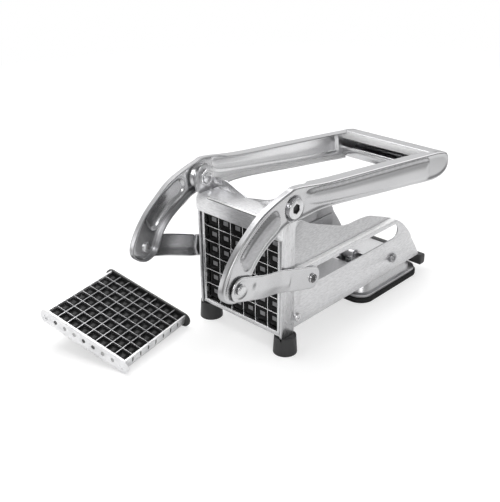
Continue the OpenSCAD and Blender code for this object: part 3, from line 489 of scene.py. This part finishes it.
def loop_depth(loop, spots, batch=4000):
    """Distance of each spot from the loop, positive inside, and the place of the nearest point."""
    ahead = numpy.roll(loop, -1, axis=0)
    side = ahead - loop
    length = numpy.linalg.norm(side, axis=1)
    start = numpy.concatenate(((0,), numpy.cumsum(length)[:-1]))
    rise = numpy.where(numpy.abs(side[:, 1]) < 1e-12, 1e-12, side[:, 1])
    depth = numpy.empty(len(spots))
    place = numpy.empty(len(spots))
    for first in range(0, len(spots), batch):
        part = spots[first:first + batch]
        reach = part[:, None, :] - loop[None]
        share = numpy.clip((reach * side).sum(-1) / (length ** 2), 0, 1)
        gap = numpy.linalg.norm(reach - share[..., None] * side, axis=-1)
        near = gap.argmin(axis=1)
        rows = numpy.arange(len(part))
        crosses = (loop[None, :, 1] > part[:, None, 1]) != (ahead[None, :, 1] > part[:, None, 1])
        meets = loop[:, 0] + (part[:, None, 1] - loop[:, 1]) / rise * side[:, 0]
        within = (crosses & (part[:, None, 0] < meets)).sum(axis=1) % 2 == 1
        depth[first:first + batch] = numpy.where(within, gap[rows, near], -gap[rows, near])
        place[first:first + batch] = start[near] + share[rows, near] * length[near]
    return depth, place


def loop_points(loop, places, inset):
    """Points of the loop at the given places along it, moved inward by the inset."""
    ahead = numpy.roll(loop, -1, axis=0)
    length = numpy.linalg.norm(ahead - loop, axis=1)
    total = length.sum()
    stops = numpy.concatenate(((0,), numpy.cumsum(length)))
    slope = ahead - numpy.roll(loop, 1, axis=0)
    slope /= numpy.linalg.norm(slope, axis=1)[:, None]
    turns = 1 if (loop[:, 0] * ahead[:, 1] - loop[:, 1] * ahead[:, 0]).sum() > 0 else -1
    inward = turns * numpy.stack((-slope[:, 1], slope[:, 0]), axis=1)
    where = numpy.mod(places, total)
    spot = [numpy.interp(where, stops, numpy.append(loop[:, i], loop[0, i])) for i in (0, 1)]
    lean = [numpy.interp(where, stops, numpy.append(inward[:, i], inward[0, i])) for i in (0, 1)]
    lean = numpy.stack(lean, axis=1)
    lean /= numpy.linalg.norm(lean, axis=1)[:, None]
    return numpy.stack(spot, axis=1) + lean * inset


def ease(value, low, high):
    """From 0 below low to 1 above high, with soft ends."""
    t = numpy.clip((value - low) / (high - low), 0, 1)
    return t * t * (3 - 2 * t)


def mesh_points(mesh):
    found = numpy.empty(len(mesh.vertices) * 3)
    mesh.vertices.foreach_get("co", found)
    return found.reshape(-1, 3)


def edge_ends(mesh):
    found = numpy.empty(len(mesh.edges) * 2, dtype=int)
    mesh.edges.foreach_get("vertices", found)
    return found.reshape(-1, 2)


def rim_edges(mesh):
    """Says of each edge if it has a face on one side only."""
    sides = numpy.empty(len(mesh.loops), dtype=int)
    mesh.loops.foreach_get("edge_index", sides)
    return numpy.bincount(sides, minlength=len(mesh.edges)) == 1


def rim_chains(mesh):
    """The rims of the sheet, each as its points in order."""
    beside = {}
    for a, b in edge_ends(mesh)[rim_edges(mesh)]:
        beside.setdefault(int(a), []).append(int(b))
        beside.setdefault(int(b), []).append(int(a))
    chains = []
    while beside:
        first = next(iter(beside))
        chain = [first]
        while True:
            onward = beside[chain[-1]]
            step = onward.pop()
            beside[step].remove(chain[-1])
            if not onward:
                del beside[chain[-1]]
            if step == first:
                break
            chain.append(step)
        if first in beside and not beside[first]:
            del beside[first]
        chains.append(chain)
    return chains


def select_only(mesh, kind, marked):
    """Selects the marked edges or faces of the mesh and nothing else."""
    for rows in (mesh.vertices, mesh.edges, mesh.polygons):
        rows.foreach_set("select", numpy.zeros(len(rows), dtype=bool))
    kind.foreach_set("select", marked)


def pressed_sheet(name, pitch, edges, height, rim_passes=60, sheet_passes=30):
    """A sheet over the first loop. Each edge is a loop and its rings: an inset and a height, or a
    function of the spots for the height. The first ring is where the flat grid ends."""
    outline = edges[0][0]
    low = outline.min(axis=0) - pitch
    span = outline.max(axis=0) + pitch - low
    steps = [int(reach / pitch) for reach in span]
    bpy.ops.object.select_all(action="DESELECT")
    bpy.ops.mesh.primitive_grid_add(x_subdivisions=steps[0], y_subdivisions=steps[1], size=1)
    piece = bpy.context.object
    piece.name = name
    mesh = piece.data
    spots = low + (mesh_points(mesh)[:, :2] + 0.5) * span
    corners = numpy.empty(len(mesh.polygons) * 4, dtype=int)
    mesh.polygons.foreach_get("vertices", corners)
    middles = spots[corners.reshape(-1, 4)].mean(axis=1)
    drop = numpy.zeros(len(middles), dtype=bool)
    for i, (loop, rings) in enumerate(edges):
        depth = loop_depth(loop, middles)[0] - rings[0][0]
        drop |= depth < 0.2 * pitch if i == 0 else depth > -0.2 * pitch
    mesh.vertices.foreach_set("co", numpy.column_stack((spots, numpy.zeros(len(spots)))).ravel())
    select_only(mesh, mesh.polygons, drop)
    bpy.ops.object.mode_set(mode="EDIT")
    bpy.ops.mesh.select_mode(type="FACE")
    bpy.ops.mesh.delete(type="FACE")
    bpy.ops.object.mode_set(mode="OBJECT")

    # The rims are laid evenly along their loops, and the sheet between them is evened out.
    spots = mesh_points(mesh)[:, :2]
    ends = edge_ends(mesh)
    fixed = numpy.zeros(len(spots), dtype=bool)
    held = []
    for chain in rim_chains(mesh):
        gaps = [loop_depth(loop, spots[chain])[0] - rings[0][0] for loop, rings in edges]
        loop, rings = edges[int(numpy.argmin([numpy.abs(gap).mean() for gap in gaps]))]
        total = numpy.linalg.norm(numpy.roll(loop, -1, axis=0) - loop, axis=1).sum()
        place = loop_depth(loop, spots[chain])[1]
        step = numpy.mod(numpy.diff(numpy.append(place, place[0])) + total / 2, total) - total / 2
        run = place[0] + numpy.concatenate(((0,), numpy.cumsum(step)[:-1]))
        wind = total * numpy.sign(step.sum())
        for _ in range(rim_passes):
            before = numpy.roll(run, 1)
            before[0] -= wind
            after = numpy.roll(run, -1)
            after[-1] += wind
            run = 0.5 * run + 0.25 * (before + after)
        spots[chain] = loop_points(loop, run, rings[0][0])
        fixed[chain] = True
        held.append((chain, loop, rings, run))
    for _ in range(sheet_passes):
        total = numpy.zeros_like(spots)
        count = numpy.zeros(len(spots))
        for a, b in ((0, 1), (1, 0)):
            numpy.add.at(total, ends[:, a], spots[ends[:, b]])
            numpy.add.at(count, ends[:, a], 1)
        even = total / count[:, None]
        spots = numpy.where(fixed[:, None], spots, 0.5 * spots + 0.5 * even)
    mesh.vertices.foreach_set("co", numpy.column_stack((spots, height(spots))).ravel())

    # Each rim is drawn out ring by ring into its rolled edge.
    for chain, loop, rings, run in held:
        marks = dict(zip(chain, run))
        for inset, level in rings[1:]:
            known = len(mesh.vertices)
            mine = numpy.isin(edge_ends(mesh), list(marks)).all(axis=1) & rim_edges(mesh)
            select_only(mesh, mesh.edges, mine)
            lasting = {tuple(numpy.round(mesh.vertices[i].co, 7)): at for i, at in marks.items()}
            bpy.ops.object.mode_set(mode="EDIT")
            bpy.ops.mesh.select_mode(type="EDGE")
            bpy.ops.mesh.extrude_edges_move()
            bpy.ops.object.mode_set(mode="OBJECT")
            marks = {
                i: lasting[tuple(numpy.round(mesh.vertices[i].co, 7))]
                for i in range(known, len(mesh.vertices))
            }
            points = loop_points(loop, numpy.array(list(marks.values())), inset)
            levels = level(points) if callable(level) else numpy.full(len(points), level)
            for i, (u, v), w in zip(marks, points, levels):
                mesh.vertices[i].co = (u, v, w)
    return piece


def machine_place(piece, place, wall):
    """Moves a sheet to its place on the machine, gives it its wall and smooths its faces."""
    mesh = piece.data
    x, y, z = place(*mesh_points(mesh).T)
    mesh.vertices.foreach_set("co", (numpy.column_stack((x, y + blade_y, z)) * mm).ravel())
    mesh.update()
    bpy.ops.object.select_all(action="DESELECT")
    bpy.context.view_layer.objects.active = piece
    piece.select_set(True)
    bpy.ops.object.mode_set(mode="EDIT")
    bpy.ops.mesh.select_all(action="SELECT")
    bpy.ops.mesh.remove_doubles(threshold=0.000002)
    bpy.ops.mesh.normals_make_consistent(inside=False)
    bpy.ops.object.mode_set(mode="OBJECT")
    skin = piece.modifiers.new("wall", "SOLIDIFY")
    skin.thickness = wall * mm
    skin.offset = -1
    bpy.ops.object.modifier_apply(modifier="wall")
    bpy.ops.object.shade_smooth_by_angle(angle=math.radians(50))
    return piece


def other_side(piece, name):
    """The mirrored piece for the machine's left side."""
    bpy.ops.object.select_all(action="DESELECT")
    twin = piece.copy()
    twin.data = piece.data.copy()
    twin.name = name
    bpy.context.scene.collection.objects.link(twin)
    twin.data.transform(Matrix.Diagonal((-1, 1, 1, 1)))
    bpy.context.view_layer.objects.active = twin
    twin.select_set(True)
    bpy.ops.object.mode_set(mode="EDIT")
    bpy.ops.mesh.select_all(action="SELECT")
    bpy.ops.mesh.flip_normals()
    bpy.ops.object.mode_set(mode="OBJECT")
    return twin


arm_loop = soft_loop(on_crank(crank_front) + on_handle(handle_edge) + on_crank(crank_rear))
crank_raised = soft_loop(on_crank(crank_panel))
handle_raised = soft_loop(on_handle(handle_panel))


def in_dish(spots, level):
    """The level, sunk to the dish's floor round the pivot."""
    away = numpy.linalg.norm(spots - pivot, axis=1)
    return level - (level - dish_floor) * (1 - ease(away, dish_flat, dish_rim))


def arm_press(spots):
    """The die's form: a web inside a low rim, and two panels that rise from it."""
    rim = 1 - ease(loop_depth(arm_loop, spots)[0], low_rim_starts, low_rim_ends)
    level = arm_web + (arm_face - arm_web) * rim
    for panel in (crank_raised, handle_raised):
        depth = loop_depth(panel, spots)[0]
        panel_level = arm_web + panel_rise * ease(depth, panel_foot, panel_shoulder)
        level = numpy.maximum(level, panel_level + crown_rise * ease(depth, crown_foot, crown_top))
    return in_dish(spots, level)


def arm_height(spots):
    """The die's form, eased by the sheet's own stiffness over about a sheet's thickness."""
    nearby = ((0, 0), (sheet_ease, 0), (-sheet_ease, 0), (0, sheet_ease), (0, -sheet_ease))
    return sum(arm_press(spots + numpy.array(offset)) for offset in nearby) / len(nearby)


def arm_roll(level):
    return lambda spots: in_dish(spots, level)


def flange_end(spots):
    """How far in the flange reaches: deeper along the handle than along the crank and the grip."""
    along = spots[:, 0]
    more = handle_flange_more * ease(along, *flange_deepens) * (1 - ease(along, *flange_ends))
    return crank_flange - more


rolled_rim = ((1.3, 44.0), (0.9, 43.94), (0.5, 43.76), (0.2, 43.4), (0.03, 42.95), (0, 42.4))
rim_rings = [(1.7, None)] + [(inset, arm_roll(level)) for inset, level in rolled_rim] + [(0, flange_end)]
hole_rings = [(0, None), (0.6, dish_floor), (1.9, dish_floor)]
arm_edges = [(arm_loop, rim_rings), (ring_loop(pivot, bolt_hole), hole_rings)]
arm_right_flat = pressed_sheet("arm_right_sheet", 0.8, arm_edges, arm_height)
arm_right_made = machine_place(arm_right_flat, lambda u, v, w: (w, u, v), wall=0.9)
arm_left_made = other_side(arm_right_made, "arm_left_sheet")

# The arms' colours: plain steel outside, a painted shade on the rolled edge and on the crank's raised
# panel, a painted highlight inside, and a near white painted highlight on the lower flange, which faces
# up to the light.
edge_depth = 1.1
edge_out_rear, edge_out_front = 43.3, 43.9
flange_bright_from, inside_bright_from = blade_y + 10, blade_y + 14
arm_lines = (1500, 500, 1500)
arm_steel = brushed_steel("arm_steel", (0.61, 0.61, 0.62), 0.25, arm_lines, 0.03)
edge_painted_shade = brushed_steel("edge_painted_shade", (0.5, 0.5, 0.51), 0.34, arm_lines, 0.05)
lip_painted_highlight = brushed_steel("lip_painted_highlight", (0.97, 0.97, 0.97), 0.4, cross_lines, 0.05, metallic=0.1)
arm_inside_painted_highlight = brushed_steel("arm_inside_painted_highlight", (0.86, 0.86, 0.87), 0.3, arm_lines, 0.05)
panel_painted_shade = brushed_steel("panel_painted_shade", (0.47, 0.47, 0.48), 0.32, (1500, 350, 900), 0.12)
for made, node in ((arm_right_made, "arm_right"), (arm_left_made, "arm_left")):
    settle(made, node, "handle", "steel", arm_steel, edge_painted_shade, lip_painted_highlight, arm_inside_painted_highlight, panel_painted_shade)
    middles = numpy.array([face.center for face in made.data.polygons]) / mm
    normals = numpy.array([face.normal for face in made.data.polygons])
    spots = middles[:, 1:] - (blade_y, 0)
    inward = loop_depth(arm_loop, spots)[0]
    gains = loop_depth(arm_loop, spots + 1.5 * normals[:, 1:])[0] - inward
    raised = loop_depth(crank_raised, spots)[0]
    # Edge faces get the painted shade, or the near white painted highlight on the flange; inner faces
    # the painted highlight; the crank panel the painted shade.
    for face, depth, gain, panel, (x, y) in zip(
        made.data.polygons, inward, gains, raised, middles[:, :2]
    ):
        outward = face.normal.x * x
        if depth < edge_depth and abs(x) < (edge_out_rear if y > blade_y else edge_out_front):
            faces_arm = gain > 0.8 and face.normal.z > 0.5
            face.material_index = 2 if faces_arm and y > flange_bright_from else 1
        elif outward < -0.3 * abs(x) and y > inside_bright_from:
            face.material_index = 3
        elif outward > 0.3 * abs(x) and panel > 0.3:
            face.material_index = 4

# Grip: one channel across the rear of the two arms, with a deep lip turned down in front, a gap under
# it and a lower lip. The lip's front carries a painted highlight, and the top and the gap a painted
# shade. It is the same sheet as the arms and is welded between them.
arm_rear = 166.5
lip_front = 164.5
grip_half = 43.2
grip_steps = 40
upper_lip_up, lower_lip_down = 0.25, 0.1
upper_lip = ((1.6, 7.4), (0.7, 7.3), (0.15, 6.6), (0.1, 0.8), (0.8, 0.15))
lower_lip = ((1.6, 8.6), (0.7, 8.5), (0.15, 7.8), (0.1, 0.8), (0.8, 0.15))
rear_edge = [p for p in arm_loop if p[0] > arm_rear]
turn_at = max(range(len(rear_edge)), key=lambda i: numpy.linalg.norm(rear_edge[i] - rear_edge[i - 1]))
rear_edge = rear_edge[turn_at:] + rear_edge[:turn_at]
if rear_edge[0][1] < rear_edge[-1][1]:
    rear_edge.reverse()
section = [(lip_front + a, rear_edge[0][1] + upper_lip_up - b) for a, b in upper_lip]
section += [tuple(p) for p in rear_edge]
section += [(lip_front + a, rear_edge[-1][1] - lower_lip_down + b) for a, b in reversed(lower_lip)]
section = numpy.array(section)
bpy.ops.object.select_all(action="DESELECT")
bpy.ops.mesh.primitive_grid_add(x_subdivisions=grip_steps, y_subdivisions=len(section) - 1, size=2)
grip = bpy.context.object
grip.name = "grip_channel"
for vertex in grip.data.vertices:
    row = round((vertex.co.y + 1) / 2 * (len(section) - 1))
    vertex.co = (vertex.co.x * grip_half, *section[row])
machine_place(grip, lambda x, y, z: (x, y, z), wall=1.0)
grip_painted_shade = brushed_steel("grip_painted_shade", (0.2, 0.2, 0.21), 0.5, cross_lines, 0.05)
settle(grip, "grip_bar", "handle", "steel", arm_steel, edge_painted_shade, lip_painted_highlight, grip_painted_shade)
grip_middle = (section[:, 1].max() + section[:, 1].min()) / 2 * mm
inside_rear, inside_half = 184, 8 * mm
# Top faces get the painted shade, the upper lip's front the painted highlight, the inside the painted
# shade.
for face in grip.data.polygons:
    back = face.center.y / mm - blade_y
    up = face.center.z - grip_middle
    on_lip = face.center.y < (lip_front + 0.3 + blade_y) * mm and face.normal.y < -0.5
    if face.normal.z > 0.5 and up > 0:
        face.material_index = 1
    elif on_lip and up > 0:
        face.material_index = 2
    elif not on_lip and lip_front + 0.5 < back < inside_rear and abs(up) < inside_half:
        face.material_index = 3

# Links: pressed strips that join the arms to the pusher. Each has a dished eye in front, a ridge
# that starts in a dimple, and a step inward to the slot behind it.
link_start = pivot + numpy.array((-50.517, -36.8))
link_end = numpy.array((25.3, 49.7))
link_reach = float(numpy.linalg.norm(link_end - link_start))
link_along = (link_end - link_start) / link_reach
link_half = 8.0
link_steps = 40
link_rounded = 3
link_face, link_step_in, link_steps_at = 45.5, 4.7, (17, 47)
eye_sink, eye_wall = 0.6, (5.2, 6.3)
ridge_rise, ridge_starts, ridge_ends = 1.1, (8.5, 12.5), (50.5, 54)
ridge_crest, ridge_top, ridge_bottom = -2, (-3.2, 8.6), (-8.2, -0.9)
dimple_place, dimple_stretch, dimple_size, dimple_wall = (11.2, 0.4), (1, 0.62), 0.3, (0.6, 2.6)


def link_end_arc(centre, start):
    turn = numpy.linspace(start, start + math.pi, link_steps)
    return numpy.array([(centre + link_half * math.cos(t), link_half * math.sin(t)) for t in turn])


def link_side(first, last, across):
    along = numpy.linspace(first, last, link_steps)
    return numpy.column_stack((along, numpy.full(link_steps, across)))


link_loop = numpy.concatenate((
    link_end_arc(0, math.pi / 2),
    link_side(link_rounded, link_reach - link_rounded, -link_half),
    link_end_arc(link_reach, -math.pi / 2),
    link_side(link_reach - link_rounded, link_rounded, link_half),
))


def link_base(spots):
    """The strip's outer face, which steps inward between the eye and the slot."""
    return link_face - link_step_in * ease(spots[:, 0], *link_steps_at)


def link_height(spots):
    """The outer face with its dished eye, its ridge and the dimple at the ridge's start."""
    along, across = spots.T
    eye = numpy.linalg.norm(spots, axis=1)
    level = link_base(spots) - eye_sink * (1 - ease(eye, *eye_wall))
    ridge = numpy.where(across > ridge_crest, 1 - ease(across, *ridge_top), ease(across, *ridge_bottom))
    level = level + ridge_rise * ridge * ease(along, *ridge_starts) * (1 - ease(along, *ridge_ends))
    dimple = numpy.linalg.norm((spots - dimple_place) * dimple_stretch, axis=1)
    return level + dimple_size * (1 - ease(dimple, *dimple_wall))


def link_roll(drop):
    return lambda spots: link_base(spots) - drop


def link_place(u, v, w):
    """From along, across and out of the link to the machine's x, y and z."""
    y = link_start[0] + u * link_along[0] - v * link_along[1]
    z = link_start[1] + u * link_along[1] + v * link_along[0]
    return w, y, z


link_rolled = ((0.6, 0.02), (0.3, 0.12), (0.1, 0.3), (0, 0.55))
link_rings = [(0.9, None)] + [(inset, link_roll(drop)) for inset, drop in link_rolled]
link_right_flat = pressed_sheet("link_right_sheet", 0.7, [(link_loop, link_rings)], link_height)
link_right_made = machine_place(link_right_flat, link_place, wall=1.1)
link_left_made = other_side(link_right_made, "link_left_sheet")
link_steel = brushed_steel("link_steel", (0.64, 0.64, 0.65), 0.23, arm_lines, 0.03)
settle(link_right_made, "link_right", "link_r", "steel", link_steel)
settle(link_left_made, "link_left", "link_l", "steel", link_steel)

# Fasteners: bright bolts, nuts, spacers and rivets at the pivots and in the trough, and duller
# screws. The bolts' sockets and the centres of the links' rear rivets carry a painted shade.
bright_steel = brushed_steel("bright_steel", (0.72, 0.72, 0.73), 0.22, (900, 900, 900), 0.1)
dull_steel = brushed_steel("dull_steel", (0.4, 0.4, 0.41), 0.32, (90, 90, 90), 0.15)
socket_painted_shade = brushed_steel("socket_painted_shade", (0.1, 0.1, 0.1), 0.4, (90, 90, 90), 0.15)
for node, body, slot_name in (
    ("pivot_bolts", "base", "bright_steel"), ("pivot_nuts", "base", "bright_steel"),
    ("crank_rivets", "handle", "bright_steel"), ("link_rivet_right", "link_r", "bright_steel"),
    ("link_rivet_left", "link_l", "bright_steel"), ("pivot_spacers", "base", "steel"),
    ("trough_rivets", "base", "steel"),
):
    settle(finished_copy(node, edge=0.0003, round_steps=3), node, body, slot_name, bright_steel)
for node, body in (
    ("foot_screws", "base"), ("star_screws", "base"), ("lever_pin", "base"), ("pusher_screws", "pusher"),
):
    settle(finished_copy(node, edge=0.0002), node, body, "dark_screws", dull_steel)
# Faces near the axis of the sockets and rivet centres get the dark painted shade.
for node, axis, radius, inner, outer in (
    ("pivot_bolts", pivot, 3.6, 43, 44.8),
    ("link_rivet_right", link_end, 1.9, 0, math.inf),
    ("link_rivet_left", link_end, 1.9, 0, math.inf),
):
    fastener = bpy.data.objects[node + "_finished"]
    fastener.data.materials.append(socket_painted_shade)
    for face in fastener.data.polygons:
        off_axis = math.hypot(face.center.y / mm - blade_y - axis[0], face.center.z / mm - axis[1])
        if off_axis < radius and inner < abs(face.center.x) / mm < outer:
            face.material_index = 1

# Spare block: 64 black posts moulded in one piece, lying tilted in front of the machine on a hub
# that the photograph hides. Each post has a small patch raised on its top, a little lighter and glossier
# than the post as a painted glint.
post_way = Vector((0.264852, 0.057117, 0.962598))
post_turn = math.radians(12.17)
post_top_least, post_top_most = 3.2e-5, 6e-5
patch_size = (2.6 * mm, 3.4 * mm, 0.7 * mm)
patch_round = 0.3 * mm
settle(finished_copy("spare_hub", edge=0.0004), "spare_hub", "spare_block", "black_plastic", post_black)
spare_posts = finished_copy("spare_block", edge=0.0004)
settle(spare_posts, "spare_block", "spare_block", "black_plastic", post_black)
post_tops = [
    face.center.copy() for face in spare_posts.data.polygons
    if face.normal.dot(post_way) > 0.99 and post_top_least < face.area < post_top_most
]
across = Vector((0, 0, 1)).cross(post_way).normalized()
patch_turn = Matrix.Rotation(post_turn, 4, post_way) @ Matrix((
    (*across.cross(post_way), 0), (*across, 0), (*post_way, 0), (0, 0, 0, 1),
)).transposed()
bpy.ops.object.select_all(action="DESELECT")
bpy.ops.mesh.primitive_cube_add(size=1)
patch = bpy.context.object
patch.data.transform(Matrix.Diagonal((*patch_size, 1)))
round_off = patch.modifiers.new("round", "BEVEL")
round_off.width = patch_round
round_off.segments = 2
bpy.ops.object.modifier_apply(modifier="round")
patches = []
for top in post_tops:
    raised = patch.copy()
    raised.data = patch.data.copy()
    raised.data.transform(Matrix.Translation(top) @ patch_turn)
    bpy.context.scene.collection.objects.link(raised)
    patches.append(raised)
bpy.data.objects.remove(patch)
bpy.ops.object.select_all(action="DESELECT")
for raised in patches:
    raised.select_set(True)
bpy.context.view_layer.objects.active = patches[0]
bpy.ops.object.join()
patches[0].name = "spare_post_tops"
bpy.ops.object.shade_smooth_by_angle(angle=math.radians(40))
# The patches' lighter, glossier colour is a painted glint.
patches[0].data.materials.append(black_matt("post_painted_glint", 0.045, 0.25, 900))
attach(patches[0], "spare_block")

# Spare grid: eight cells each way between two pale steel cheeks and two strips. The cheeks and strips
# are made paler still as a painted highlight, and the blades darker than the large grid's as a painted
# shade. The blades' ends show as shallow dots in the cheeks and as slanted nicks in the strips, whose
# floors carry a painted shade, dark on some and half dark on the others.
cheek_darks = (0, 3, 4, 7, 9, 10, 12)
strip_darks = range(30)
nick_shallowest, nick_deepest, nick_least = 0.0002, 0.0006, 1e-6
spare_blade_painted_shade = brushed_steel("spare_blade_painted_shade", (0.5, 0.5, 0.51), 0.34, (60, 60, 60), 0.1)
pale_steel_painted_highlight = brushed_steel("pale_steel_painted_highlight", (0.96, 0.96, 0.97), 0.5, (60, 60, 60), 0.15)
nick_painted_shade = brushed_steel("nick_painted_shade", (0.12, 0.12, 0.12), 0.5, (90, 90, 90), 0.15)
nick_painted_half_shade = brushed_steel("nick_painted_half_shade", (0.5, 0.5, 0.5), 0.5, (90, 90, 90), 0.15)
for node in ("spare_blades_u", "spare_blades_v"):
    settle(finished_copy(node, edge=0.00008), node, "spare_grid", "blade_steel", spare_blade_painted_shade)
for node, darks in (("spare_cheeks", cheek_darks), ("spare_strips", strip_darks)):
    pale = finished_copy(node, edge=0.0001)
    settle(pale, node, "spare_grid", "blade_steel", pale_steel_painted_highlight, nick_painted_shade, nick_painted_half_shade)
    widest = max(pale.data.polygons, key=lambda face: face.area).normal.copy()
    floors = []
    for side in (widest, -widest):
        faces = [face for face in pale.data.polygons if face.normal.dot(side) > 0.98]
        outer = max(face.center.dot(side) for face in faces)
        for face in faces:
            sunk = outer - face.center.dot(side)
            if nick_shallowest < sunk < nick_deepest and face.area > nick_least:
                floors.append(face)
    # The dot and nick floors get the dark or the half dark painted shade.
    floors.sort(key=lambda face: (face.normal.y > 0, face.center.x))
    for i, face in enumerate(floors):
        face.material_index = 1 if i in darks else 2
    # On the far cheek, faces that do not face the rear get the dark painted shade as well.
    if node == "spare_cheeks":
        whole = sum(face.area for face in pale.data.polygons)
        middle_y = sum(face.center.y * face.area for face in pale.data.polygons) / whole
        for face in pale.data.polygons:
            if face.center.y > middle_y and face.normal.y < 0.5 and face.material_index == 0:
                face.material_index = 1
